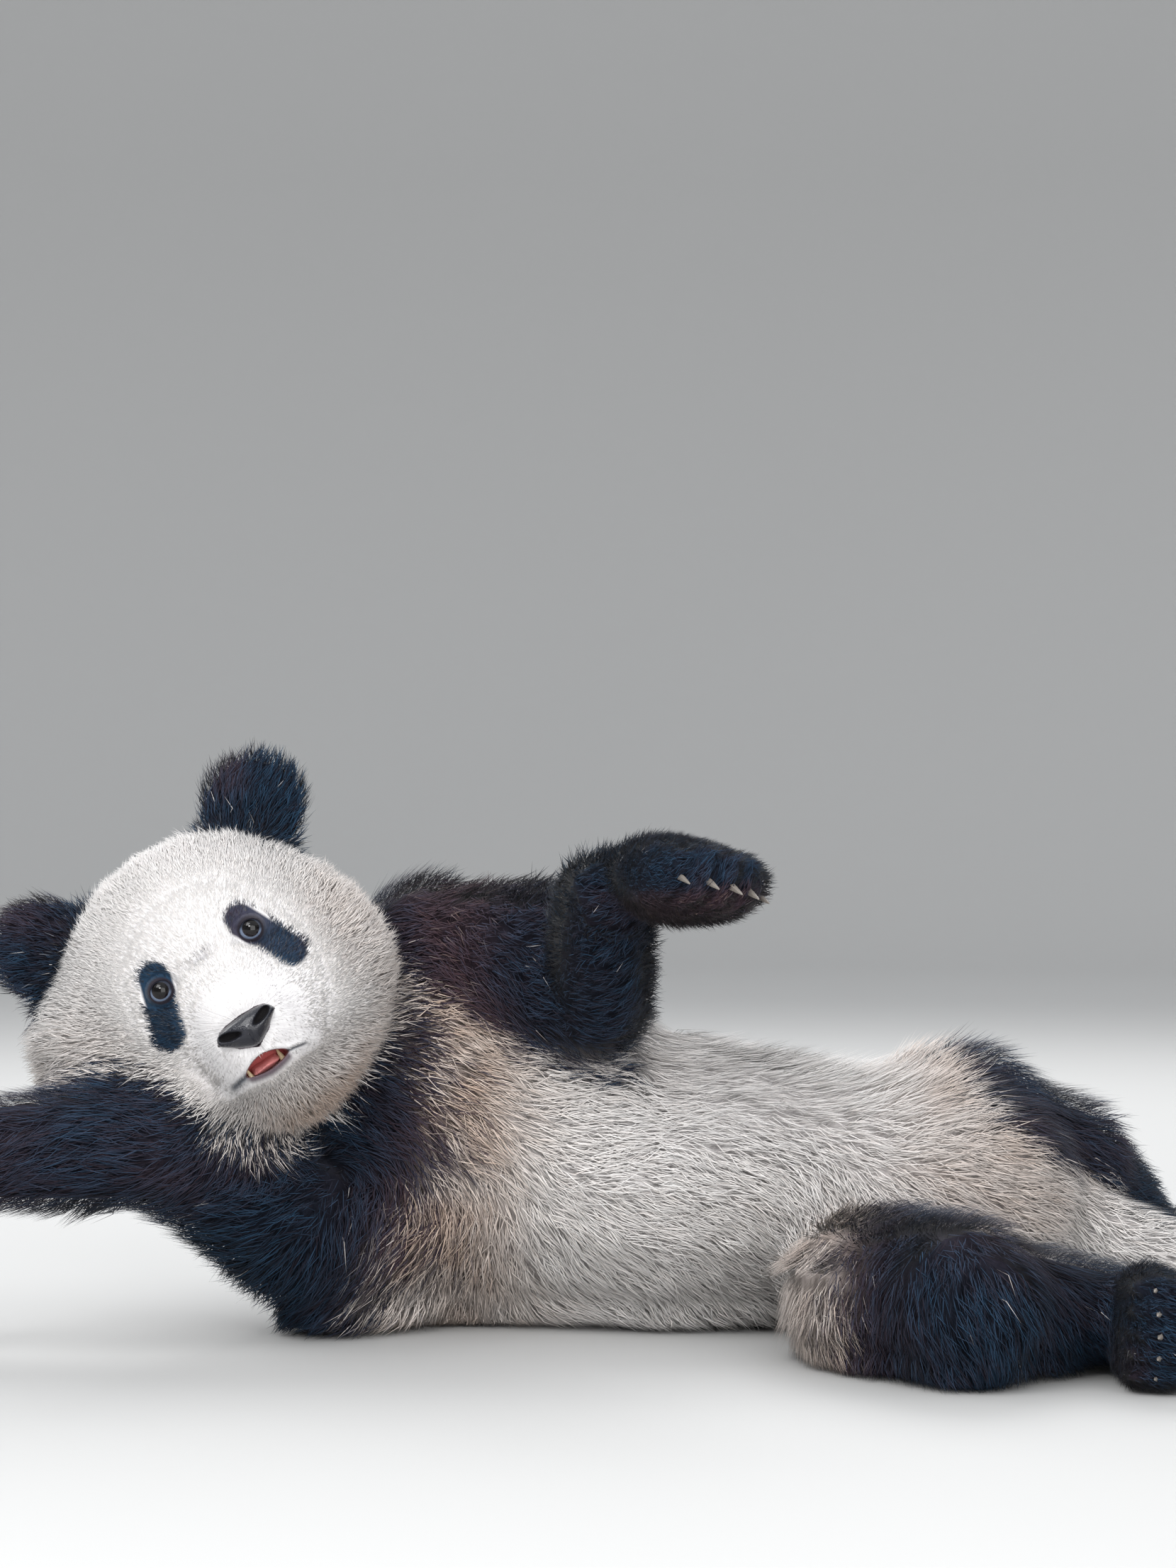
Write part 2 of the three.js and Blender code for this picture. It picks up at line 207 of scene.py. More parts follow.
class PandaFaceSettings(bpy.types.PropertyGroup):
    iris: colour_setting("Iris", "Colour of the iris", (0.010, 0.007, 0.008))
    rim: colour_setting("Eye rim", "Colour of the white of the eye at its edge", (0.15, 0.19, 0.27))
    nose: colour_setting("Nose", "Colour of the nose's bare skin", (0.011, 0.012, 0.020))
    tongue: colour_setting("Tongue", "Colour of the tongue", (0.72, 0.25, 0.24))
    lid: colour_setting("Lids", "Colour of the bare lids", (0.018, 0.015, 0.022))
    lip: colour_setting("Lips", "Colour of the bare lips", (0.130, 0.100, 0.118))
    lining: colour_setting("Lining", "Colour of the mouth's lining", (0.50, 0.125, 0.120))
    tooth: colour_setting("Teeth", "Colour of the enamel", (0.80, 0.68, 0.42))
    claw: colour_setting("Claws", "Colour of the horn", (0.28, 0.25, 0.22))
    lid_wide: FloatProperty(
        name="Eye width", description="Width of the opening between the lids", subtype="DISTANCE",
        unit="LENGTH", default=0.0195,
    )
    lid_high: FloatProperty(
        name="Eye height", description="Height of the opening between the lids", subtype="DISTANCE",
        unit="LENGTH", default=0.0168,
    )


class PandaStageSettings(bpy.types.PropertyGroup):
    floor: colour_setting("Floor", "Colour of the floor", (0.50, 0.50, 0.495))
    lamp: FloatProperty(name="Key lamp", description="Power of the key lamp", unit="POWER", default=84.0)
    lens: FloatProperty(
        name="Lens", description="Focal length of the camera", subtype="DISTANCE_CAMERA", default=85.0
    )


def settings(name):
    return getattr(bpy.context.scene, name)


# ---- Mesh helpers ----


def set_points(piece, points):
    piece.data.vertices.foreach_set("co", np.asarray(points, np.float32).ravel())
    piece.data.update()


def normals_of(piece):
    flat = np.empty(len(piece.data.vertices) * 3, np.float32)
    piece.data.vertices.foreach_get("normal", flat)
    return flat.reshape(-1, 3).astype(float)


def edges_of(piece):
    index = np.empty(len(piece.data.edges) * 2, np.int32)
    piece.data.edges.foreach_get("vertices", index)
    return index.reshape(-1, 2)


def spread(values, edges, rounds, share=0.5):
    """Evens values out over the mesh: in each round a point takes a share of its neighbours' mean."""
    values = np.array(values, float)
    flat = values.reshape(len(values), -1)
    a, b = edges.T
    count = np.bincount(a, minlength=len(flat)) + np.bincount(b, minlength=len(flat))
    count = np.maximum(count, 1)
    for _ in range(rounds):
        for k in range(flat.shape[1]):
            column = flat[:, k]
            total = np.bincount(a, column[b], len(flat)) + np.bincount(b, column[a], len(flat))
            flat[:, k] = column + share * (total / count - column)
    return flat.reshape(values.shape)


def even(points, edges, rounds):
    """Smooths a surface and swells it back, so that round forms keep their size."""
    for _ in range(rounds):
        points = spread(points, edges, 1)
        points = spread(points, edges, 1, -0.52)
    return points


def deselect():
    bpy.ops.object.select_all(action="DESELECT")


def make_active(*pieces):
    deselect()
    for piece in pieces:
        piece.select_set(True)
    bpy.context.view_layer.objects.active = pieces[-1]


def edit_whole(piece, *steps):
    """Runs mesh operators on the whole of a piece, each with its options."""
    make_active(piece)
    bpy.ops.object.mode_set(mode="EDIT")
    bpy.ops.mesh.select_all(action="SELECT")
    for step, options in steps:
        step(**options)
    bpy.ops.object.mode_set(mode="OBJECT")


def edit_chosen(piece, chosen, kind, step, **options):
    """Runs a mesh operator on the chosen points of a piece, or on the faces between them."""
    make_active(piece)
    bpy.ops.object.mode_set(mode="EDIT")
    bpy.ops.mesh.select_mode(type="VERT")
    bpy.ops.mesh.select_all(action="DESELECT")
    bpy.ops.object.mode_set(mode="OBJECT")
    piece.data.vertices.foreach_set("select", chosen)
    bpy.ops.object.mode_set(mode="EDIT")
    bpy.ops.mesh.select_mode(type=kind)
    step(**options)
    bpy.ops.object.mode_set(mode="OBJECT")


def copy_node(name, new_name):
    """A free copy of a node, with its loose triangles merged."""
    copy = NODES[name].copy()
    copy.data = NODES[name].data.copy()
    copy.name = copy.data.name = new_name
    for key in list(copy.keys()):
        del copy[key]
    copy.parent = None
    bpy.context.scene.collection.objects.link(copy)
    edit_whole(copy, (bpy.ops.mesh.remove_doubles, {"threshold": 1e-5}))
    copy.data.materials.clear()
    return copy


def put_modifier(piece, kind, **values):
    """Adds a modifier and applies it at once."""
    make_active(piece)
    modifier = piece.modifiers.new(kind.lower(), kind)
    for name, value in values.items():
        setattr(modifier, name, value)
    bpy.ops.object.modifier_apply(modifier=modifier.name)


def put_values(piece, name, kind, values):
    """Stores one value for each point of the mesh, as a float, a vector or a colour."""
    field = {"FLOAT": "value", "FLOAT_VECTOR": "vector", "FLOAT_COLOR": "color"}[kind]
    attribute = piece.data.attributes.get(name) or piece.data.attributes.new(name, kind, "POINT")
    attribute.data.foreach_set(field, np.asarray(values, np.float32).ravel())


def set_shading(piece, material):
    piece.data.materials.clear()
    piece.data.materials.append(material)
    make_active(piece)
    bpy.ops.object.shade_smooth()


def settle(piece, nodes=()):
    """Puts a finished piece on the body, and hides the nodes that it stands for."""
    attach(piece, BODY)
    if nodes:
        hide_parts(*nodes)


# ---- Shader groups and materials ----


def new_group(name, inputs, outputs):
    group = bpy.data.node_groups.new(name, "ShaderNodeTree")
    for title, kind, default in inputs:
        socket = group.interface.new_socket(title, in_out="INPUT", socket_type=kind)
        if default is not None:
            socket.default_value = default
    for title, kind in outputs:
        group.interface.new_socket(title, in_out="OUTPUT", socket_type=kind)
    return group, group.nodes.new("NodeGroupInput"), group.nodes.new("NodeGroupOutput")


def mixer(nodes, links, factor, a, b, kind="RGBA", blend="MIX"):
    """A Mix node fed by sockets or plain values. Returns its result."""
    node = nodes.new("ShaderNodeMix")
    node.data_type = kind
    if kind == "RGBA":
        node.blend_type = blend
    first = {"FLOAT": 2, "VECTOR": 4, "RGBA": 6}[kind]
    result = {"FLOAT": 0, "VECTOR": 1, "RGBA": 2}[kind]
    for socket, value in ((node.inputs[0], factor), (node.inputs[first], a), (node.inputs[first + 1], b)):
        if isinstance(value, bpy.types.NodeSocket):
            links.new(value, socket)
        else:
            socket.default_value = value
    return node.outputs[result]


def math_node(nodes, links, operation, a, b=0.0, clamp=False):
    node = nodes.new("ShaderNodeMath")
    node.operation = operation
    node.use_clamp = clamp
    for socket, value in zip(node.inputs, (a, b)):
        if isinstance(value, bpy.types.NodeSocket):
            links.new(value, socket)
        else:
            socket.default_value = value
    return node.outputs[0]


def noise(nodes, links, place, scale, detail=3.0):
    """Even noise over a place, from 0 to 1."""
    node = nodes.new("ShaderNodeTexNoise")
    node.inputs["Scale"].default_value = scale
    node.inputs["Detail"].default_value = detail
    links.new(place, node.inputs["Vector"])
    return node.outputs["Fac"]


def opaque(colour):
    return (*colour, 1.0)


def hair_colour_group():
    """Colour of hair from its marks: how black, how stained, its own lot, and how far from root to tip."""
    coat = settings("panda_coat")
    names = ("White", "Undercoat", "Black", "Sheen", "Rust", "Stain")
    shades = (coat.white, coat.under, coat.black, coat.sheen, coat.rust, coat.stain)
    inputs = [("Marks", "NodeSocketColor", None), ("Tip", "NodeSocketFloat", 0.5)]
    inputs += [(name, "NodeSocketColor", opaque(shade)) for name, shade in zip(names, shades)]
    group, start, end = new_group("hair_colour", inputs, [("Color", "NodeSocketColor")])
    nodes, links = group.nodes, group.links
    marks = nodes.new("ShaderNodeSeparateColor")
    links.new(start.outputs["Marks"], marks.inputs[0])
    black, stain, lot = marks.outputs
    place = nodes.new("ShaderNodeTexCoord").outputs["Object"]
    drift = noise(nodes, links, place, 9.0)
    pale = mixer(nodes, links, start.outputs["Tip"], start.outputs["Undercoat"], start.outputs["White"])
    patchy = math_node(nodes, links, "MULTIPLY", drift, 2.6)
    patchy = math_node(nodes, links, "SUBTRACT", patchy, 0.35, clamp=True)
    stain = math_node(nodes, links, "MULTIPLY", stain, patchy)
    pale = mixer(nodes, links, stain, pale, start.outputs["Stain"])
    dull = math_node(nodes, links, "MULTIPLY", lot, 0.22)
    pale = mixer(nodes, links, dull, pale, start.outputs["Undercoat"])
    # Painted sheen: black hair is painted bluer towards the tips of tufts with a large lot.
    lit = math_node(nodes, links, "MULTIPLY", lot, start.outputs["Tip"])
    lit = math_node(nodes, links, "POWER", lit, 1.25)
    dark = mixer(nodes, links, lit, start.outputs["Black"], start.outputs["Sheen"])
    rusty = math_node(nodes, links, "SUBTRACT", drift, 0.50)
    rusty = math_node(nodes, links, "MULTIPLY", rusty, 3.0, clamp=True)
    rusty = math_node(nodes, links, "MAXIMUM", rusty, stain)
    rusty = math_node(nodes, links, "MULTIPLY", rusty, start.outputs["Tip"])
    dark = mixer(nodes, links, rusty, dark, start.outputs["Rust"])
    links.new(mixer(nodes, links, black, pale, dark), end.inputs[0])
    return group


def new_material(name):
    material = bpy.data.materials.new(name)
    material.use_nodes = True
    nodes = material.node_tree.nodes
    return material, nodes, material.node_tree.links, nodes["Principled BSDF"]


def add_group(nodes, group):
    node = nodes.new("ShaderNodeGroup")
    node.node_tree = group
    return node


def coat_colour(nodes, links):
    """The marks of skin and coat, turned into colour."""
    marks = nodes.new("ShaderNodeAttribute")
    marks.attribute_name = "coat"
    colour = add_group(nodes, bpy.data.node_groups.get("hair_colour") or hair_colour_group())
    links.new(marks.outputs["Color"], colour.inputs["Marks"])
    links.new(marks.outputs["Alpha"], colour.inputs["Tip"])
    return colour.outputs["Color"]


def set_hair_gloss(shader):
    shader.inputs["Roughness"].default_value = 0.85
    shader.inputs["Specular IOR Level"].default_value = 0.14
    shader.inputs["Sheen Weight"].default_value = 0.12
    shader.inputs["Sheen Roughness"].default_value = 0.4


def hair_material(name):
    """Finish of the tufts. Light falls partly as on the body beneath, as it does in deep fur."""
    material, nodes, links, shader = new_material(name)
    links.new(coat_colour(nodes, links), shader.inputs["Base Color"])
    set_hair_gloss(shader)
    ground = nodes.new("ShaderNodeAttribute")
    ground.attribute_name = "ground"
    own = nodes.new("ShaderNodeNewGeometry")
    blend = mixer(nodes, links, 0.78, own.outputs["Normal"], ground.outputs["Vector"], "VECTOR")
    even_out = nodes.new("ShaderNodeVectorMath")
    even_out.operation = "NORMALIZE"
    links.new(blend, even_out.inputs[0])
    links.new(even_out.outputs[0], shader.inputs["Normal"])
    return material


def skin_material():
    """Finish of the skin: short fur as streaks, with painted shade in their troughs, and bare lids, lips and
    the lining of the mouth.
    """
    face = settings("panda_face")
    material, nodes, links, shader = new_material("skin_hair")
    bare = nodes.new("ShaderNodeAttribute")
    bare.attribute_name = "bare"
    parts = nodes.new("ShaderNodeSeparateColor")
    links.new(bare.outputs["Color"], parts.inputs[0])
    comb = nodes.new("ShaderNodeAttribute")
    comb.attribute_name = "comb"
    streaks = noise(nodes, links, comb.outputs["Vector"], 420.0, 4.0)
    shade = math_node(nodes, links, "MULTIPLY", streaks, 2.4)
    shade = math_node(nodes, links, "SUBTRACT", shade, 0.7, clamp=True)
    hair = coat_colour(nodes, links)
    # Painted shade: where the streaks' bump is low, the hair colour is multiplied darker.
    deep = mixer(nodes, links, 1.0, hair, (0.70, 0.69, 0.71, 1), blend="MULTIPLY")
    flat = mixer(nodes, links, 1.0, hair, (0.90, 0.90, 0.91, 1), blend="MULTIPLY")
    colour = mixer(nodes, links, shade, deep, flat)
    colour = mixer(nodes, links, parts.outputs[0], colour, opaque(face.lip))
    colour = mixer(nodes, links, parts.outputs[1], colour, opaque(face.lining))
    colour = mixer(nodes, links, parts.outputs[2], colour, opaque(face.lid))
    links.new(colour, shader.inputs["Base Color"])
    set_hair_gloss(shader)
    bump = nodes.new("ShaderNodeBump")
    bump.inputs["Distance"].default_value = 0.0009
    links.new(streaks, bump.inputs["Height"])
    links.new(bump.outputs["Normal"], shader.inputs["Normal"])
    return material


def grain_group():
    """Fine pebbled bump of bare skin and horn."""
    inputs = [("Scale", "NodeSocketFloat", 400.0), ("Depth", "NodeSocketFloat", 0.0004)]
    group, start, end = new_group(
        "grain", inputs, [("Normal", "NodeSocketVector"), ("Mask", "NodeSocketFloat")]
    )
    nodes, links = group.nodes, group.links
    place = nodes.new("ShaderNodeTexCoord").outputs["Object"]
    cells = nodes.new("ShaderNodeTexVoronoi")
    links.new(place, cells.inputs["Vector"])
    links.new(start.outputs["Scale"], cells.inputs["Scale"])
    bump = nodes.new("ShaderNodeBump")
    links.new(cells.outputs["Distance"], bump.inputs["Height"])
    links.new(start.outputs["Depth"], bump.inputs["Distance"])
    links.new(bump.outputs["Normal"], end.inputs["Normal"])
    links.new(cells.outputs["Distance"], end.inputs["Mask"])
    return group


def bare_material(name, colour, roughness, grain=None, scale=400.0, depth=0.0004, wet=0.0, vary=0.35):
    """Nose, tongue, teeth, claws: bare and a little uneven in colour."""
    material, nodes, links, shader = new_material(name)
    place = nodes.new("ShaderNodeTexCoord").outputs["Object"]
    mottle = noise(nodes, links, place, 90.0)
    dark = tuple(c * (1 - vary) for c in colour)
    links.new(mixer(nodes, links, mottle, opaque(dark), opaque(colour)), shader.inputs["Base Color"])
    shader.inputs["Roughness"].default_value = roughness
    shader.inputs["Coat Weight"].default_value = wet
    shader.inputs["Coat Roughness"].default_value = 0.12
    if grain:
        node = add_group(nodes, grain)
        node.inputs["Scale"].default_value = scale
        node.inputs["Depth"].default_value = depth
        links.new(node.outputs["Normal"], shader.inputs["Normal"])
    return material


def eye_material():
    """Pupil, iris and dark white of the eye, by the height on the ball's own map, with a painted lid shadow
    on its upper part.
    """
    face = settings("panda_face")
    material, nodes, links, shader = new_material("eyeball")
    ball = nodes.new("ShaderNodeUVMap")
    ball.uv_map = "UVMap"
    height = nodes.new("ShaderNodeSeparateXYZ")
    links.new(ball.outputs["UV"], height.inputs[0])
    ramp = nodes.new("ShaderNodeValToRGB")
    ramp.color_ramp.elements[0].position = 0.0
    ramp.color_ramp.elements[0].color = (0.10, 0.07, 0.06, 1)
    ramp.color_ramp.elements[1].position = 1.0
    ramp.color_ramp.elements[1].color = (0.004, 0.003, 0.003, 1)
    for position, colour in (
        (0.69, opaque(tuple(c * 0.5 for c in face.rim))),
        (0.75, opaque(face.rim)),
        (0.795, opaque(face.rim)),
        (0.812, (0.010, 0.008, 0.010, 1)),
        (0.84, opaque(face.iris)),
        (0.88, opaque(tuple(c * 0.6 for c in face.iris))),
        (0.90, (0.003, 0.0025, 0.003, 1)),
    ):
        ramp.color_ramp.elements.new(position).color = colour
    links.new(height.outputs["Y"], ramp.inputs["Fac"])
    # Painted shadow of the upper lid: the ball is painted darker where it is high.
    shaded = nodes.new("ShaderNodeAttribute")
    shaded.attribute_name = "shaded"
    dim = mixer(nodes, links, 1.0, ramp.outputs["Color"], (0.22, 0.20, 0.20, 1), blend="MULTIPLY")
    colour = mixer(nodes, links, shaded.outputs["Fac"], ramp.outputs["Color"], dim)
    links.new(colour, shader.inputs["Base Color"])
    shader.inputs["Roughness"].default_value = 0.05
    shader.inputs["IOR"].default_value = 1.42
    return material


# ---- Skin ----

VOXEL = 0.0056
GROW = 0.0012  # the copies swell by this, so that the thin cuts between nodes close
SKIN_OFF_FLOOR = 0.0006
TUFTS_OFF_FLOOR = 0.0008


def node_tree(name):
    """A node's surface, ready to be searched."""
    triangles, _ = triangles_of(NODES[name])
    return BVHTree.FromPolygons(points_of(NODES[name]).tolist(), triangles.tolist())


def distances(points):
    """Distance of each point from the surface of each node of flesh, up to one reach."""
    reach = 0.07
    found = np.full((len(points), len(FLESH)), 1.0)
    for k, name in enumerate(FLESH):
        tree = node_tree(name)
        low, high = (np.array(corner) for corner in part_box(name))
        for i in np.flatnonzero(((points > low - reach) & (points < high + reach)).all(1)):
            found[i, k] = tree.find_nearest(points[i])[3]
    return found


def shares_of(found, fade):
    """How much each point belongs to each node of flesh, as shares that sum to 1."""
    shares = np.exp(-(found - found.min(1, keepdims=True)) / fade)
    return shares / shares.sum(1, keepdims=True)


def part_of(shares, *names):
    """The share of the named nodes together."""
    return sum(shares[:, FLESH.index(name)] for name in names)


def usual(shares, field):
    """A region's number at each point, evened out over the borders."""
    return shares @ np.array([getattr(REGIONS[name], field) for name in FLESH])


def fill_hollow():
    """A plug for the hollow behind the lips, so that the skin closes over it before the lips are cut."""
    bpy.ops.mesh.primitive_uv_sphere_add(segments=32, ring_count=16, radius=1)
    plug = bpy.context.object
    plug.name = plug.data.name = "copy_plug"
    dip = np.array([[1, 0, 0], [0, cos(HOLLOW_DIP), -sin(HOLLOW_DIP)], [0, sin(HOLLOW_DIP), cos(HOLLOW_DIP)]])
    set_points(plug, from_head(points_of(plug) * [0.036, 0.013, 0.027] @ dip.T + HOLLOW))
    edit_whole(plug, (bpy.ops.mesh.normals_make_consistent, {"inside": False}))
    return plug


def joined_flesh():
    """The nodes of flesh as one even, closed surface, with the sockets of eyes, nose and mouth filled."""
    copies = [copy_node(name, f"copy_{name}") for name in (*FLESH, "nose", "eye_left", "eye_right")]
    for copy in copies[: len(FLESH)]:
        put_modifier(copy, "DISPLACE", strength=GROW, mid_level=0.0)
    make_active(*copies, fill_hollow())
    bpy.ops.object.join()
    skin = bpy.context.object
    skin.name = skin.data.name = "skin"
    put_modifier(skin, "REMESH", mode="VOXEL", voxel_size=VOXEL)
    return skin


def refine(skin, chosen):
    """Cuts each face whose corners are all chosen into four."""
    edit_chosen(skin, chosen, "FACE", bpy.ops.mesh.subdivide, number_cuts=1)


def face_distance(place):
    """Distance from the middle of the face, counted less along its height and depth."""
    return np.linalg.norm((place - [0, -0.03, 0.0]) / [1.0, 1.15, 1.6], axis=1)


def eye_distance(place):
    """Distance from the axis through the nearer eye."""
    return np.hypot(np.abs(place[:, 0]) - EYE_APART, place[:, 1]) + 4 * np.maximum(-0.02 - place[:, 2], 0)


def lip_line(u):
    """Height of the closed lips at a place across the mouth: highest in the middle."""
    across = u - LIPS[0]
    return LIPS[1] - 0.0045 * (across / 0.035) ** 2 - 0.04 * across


def opening(across):
    """How far the mouth is open across its width: 1 in its middle."""
    return np.maximum(1 - np.abs(across / MOUTH_HALF) ** 1.7, 0) ** 0.75


def lip_gap(place):
    """Half the gap between the lips, and the distance above and below their middle line."""
    across = place[:, 0] - LIPS[0]
    above = place[:, 1] - lip_line(place[:, 0])
    gap = np.where(above > 0, 0.0080, 0.0070) * opening(across)
    return gap + 0.0003 * (1 - smooth(0.033, 0.038, abs(across))), above


def lip_mask(place):
    """Bare skin: 1 on the lips beside the gap, and how far a point is inside the mouth."""
    gap, above = lip_gap(place)
    across = np.abs(place[:, 0] - LIPS[0])
    ahead = (place[:, 2] > 0.0) & (across < 0.040)
    beyond = np.abs(above) - gap
    inside = (1 - smooth(-0.0008, 0.0002, beyond)) * ahead * (1 - smooth(0.0185, 0.0205, across))
    wide = np.where(above > 0, 0.0004, 0.0080)
    rim = (1 - smooth(wide * 0.2, wide, beyond)) * ahead * (1 - smooth(0.018, 0.023, across))
    return rim, inside


def coat_depth(points, shares):
    """How far under the coat's tips the skin lies."""
    depth = usual(shares, "depth")
    place = to_head(points)
    head = part_of(shares, "head")
    face = 1 - smooth(0.066, 0.125, face_distance(place))
    depth = depth + head * 0.006 * smooth(-0.05, -0.13, place[:, 2])
    depth = depth + head * (0.0038 - depth) * face
    chin = smooth(-0.106, -0.130, place[:, 1]) * smooth(-0.08, -0.02, place[:, 2])
    cheek = smooth(0.085, 0.125, np.abs(place[:, 0])) * (1 - smooth(0.02, 0.06, place[:, 1]))
    depth = depth + head * (0.0145 - depth) * np.maximum(chin, cheek)
    above = lip_gap(place)[1]
    bare = 1 - smooth(0.004, np.where(above > 0, 0.022, 0.014), np.abs(above))
    bare *= (1 - smooth(0.036, 0.060, np.abs(place[:, 0] - LIPS[0]))) * (place[:, 2] > 0)
    bare = np.maximum(bare, 1 - smooth(0.011, 0.018, eye_distance(place)))
    nose = np.linalg.norm((place - NOSE_PLACE) / [1.5, 1.0, 1.5], axis=1)
    bare = np.maximum(bare, 1 - smooth(0.016, 0.055, nose))
    depth = depth * (1 - bare) + 0.0012 * bare
    pressed = 1 - smooth(0.004, 0.03, points[:, 2])
    return depth * (1 - pressed) + np.minimum(depth, 0.006) * pressed


NAPE = unit(middle("trunk") - middle("head"))


def black_share(points, shares):
    """0 on the pale coat and 1 on the black."""
    x, y, z = points.T
    # The band starts behind the cheeks, and runs down the chest and over shoulder and withers.
    chest = -0.126 - 0.45 * np.maximum(0.182 - z, 0) - 0.022 * bell(z, 0.235, 0.030)
    above = smooth(-0.018, 0.012, z - 0.248 + 0.295 * x - 0.010 * bell(x, -0.10, 0.035))
    edge = chest + (0.02 - chest) * above
    edge += (-0.055 - edge) * smooth(0.02, 0.10, y)
    band = 1 - smooth(edge - 0.042, edge + 0.038, x)
    # The lower front of the chest is partly black.
    mixed_chest = 0.42 * (1 - smooth(-0.135, -0.065, x)) * smooth(0.27, 0.24, z) * smooth(0.0, -0.05, y)
    band = np.maximum(band, mixed_chest * smooth(0.02, 0.08, z))
    along = (points - middle("head")) @ NAPE
    nape = -0.02 + 0.16 * smooth(0.0, 0.11, y)
    band *= smooth(nape, nape + 0.03, along)
    # Each thigh turns black half-way down.
    knee = smooth(0.165, 0.245, x - 0.15 * (y + 0.3)) * smooth(-0.10, -0.20, y)
    line = 0.203 - 0.44 * (x - 0.294)
    outer = np.maximum(smooth(-0.014, 0.014, z - line), smooth(0.02, 0.06, y))
    outer *= smooth(0.28, 0.34, x + 0.3 * y) * (1 - 0.45 * smooth(0.225, 0.255, z))
    hip = outer * smooth(0.09, 0.04, y) * smooth(0.05, 0.12, z)
    black = usual(shares, "black") + part_of(shares, "neck") * band
    black += part_of(shares, "trunk") * np.maximum(band, hip)
    black += part_of(shares, "thigh_right") * knee + part_of(shares, "thigh_left") * outer
    # Pale hair spills over the black between the cheek and the arm.
    along = np.clip((x + 0.166) / 0.066, 0, 1)
    spill = np.hypot(x + 0.166 - 0.066 * along, z - 0.297 + 0.022 * along) / 0.015
    black -= 0.6 * bell(spill, 0, 1) * smooth(-0.02, -0.06, y) * part_of(shares, "neck", "trunk")
    return np.clip(black, 0, 1)


PATCH_DROP = 0.0128
PATCH_LONG = 0.0248
PATCH_WIDE = 0.0137
PATCH_SLANT = {-1: radians(19), 1: radians(24)}


def patch_share(place):
    """The black patches round the eyes, which slant down and out."""
    share = np.zeros(len(place))
    for hand, slant in PATCH_SLANT.items():
        run = np.array([hand * sin(slant), -cos(slant)])
        flat = place[:, :2] - [hand * (EYE_APART + 0.0022), 0] - run * PATCH_DROP
        along = flat @ run
        away = np.linalg.norm(flat - np.clip(along, -PATCH_LONG, PATCH_LONG)[:, None] * run, axis=1)
        wide = PATCH_WIDE * (1 - 0.02 * np.clip(along / PATCH_LONG, -1, 1))
        share = np.maximum(share, 1 - smooth(wide - 0.0016, wide + 0.0016, away))
    return share * smooth(-0.05, -0.03, place[:, 2])


def frown(place, narrow, wide):
    """The curved crease between the eyes: 1 along its line."""
    u, v = place[:, 0], place[:, 1]
    return bell(v, 0.002 + 8 * (u + 0.006) ** 2, narrow) * bell(u, -0.004, wide)


def grey_share(place):
    """Grey in the white face: painted shade along the crease between the eyes, and grey above the nose and
    along the lips.
    """
    u, v, w = place.T
    above, across = lip_gap(place)[1], u - LIPS[0]
    above_nose = bell(v, NOSE_PLACE[1] + 0.020, 0.010) * bell(u, NOSE_PLACE[0], 0.022)
    beside = bell(above, 0, 0.010) * (1 - smooth(0.040, 0.056, abs(across)))
    line = bell(above, 0, 0.0016 + 0.0022 * smooth(0.02, -0.03, across))
    line *= smooth(0.014, 0.021, abs(across)) * (1 - smooth(0.033, 0.040, abs(across)))
    # The crease's grey is painted shade.
    grey = 0.50 * frown(place, 0.0045, 0.017) + 0.08 * above_nose + 0.04 * beside + 0.95 * line
    return np.clip(grey, 0, 1) * smooth(-0.02, 0.0, w)


def stain_share(points, shares):
    """Tan where the pale coat is soiled: cheeks, chin, chest, groin and knee."""
    u, v, w = to_head(points).T
    x, y, z = points.T
    head = part_of(shares, "head")
    chin = smooth(-0.10, -0.15, v) * smooth(-0.10, -0.02, w)
    cheek = smooth(0.070, 0.115, np.abs(u)) * smooth(0.06, -0.03, v)
    face = 0.02 + 0.98 * chin + 0.36 * cheek
    chest = 0.95 * bell(x, -0.130, 0.065) * smooth(0.05, -0.02, y)
    groin = 0.75 * bell(x, 0.36, 0.09) * bell(z, 0.15, 0.05)
    knee = 0.70 * bell(x, 0.21, 0.050) * smooth(-0.12, -0.20, y)
    hip = 0.70 * bell(x, 0.30, 0.045) * bell(z, 0.21, 0.035)
    arm = part_of(shares, "upper_arm_left") * 0.35 + part_of(shares, "forearm_right") * 0.4
    arm += part_of(shares, "hand_left") * smooth(0.404, 0.392, z)
    body = 0.07 + np.maximum.reduce([chest, groin, knee, hip, arm])
    return head * face + (1 - head) * body


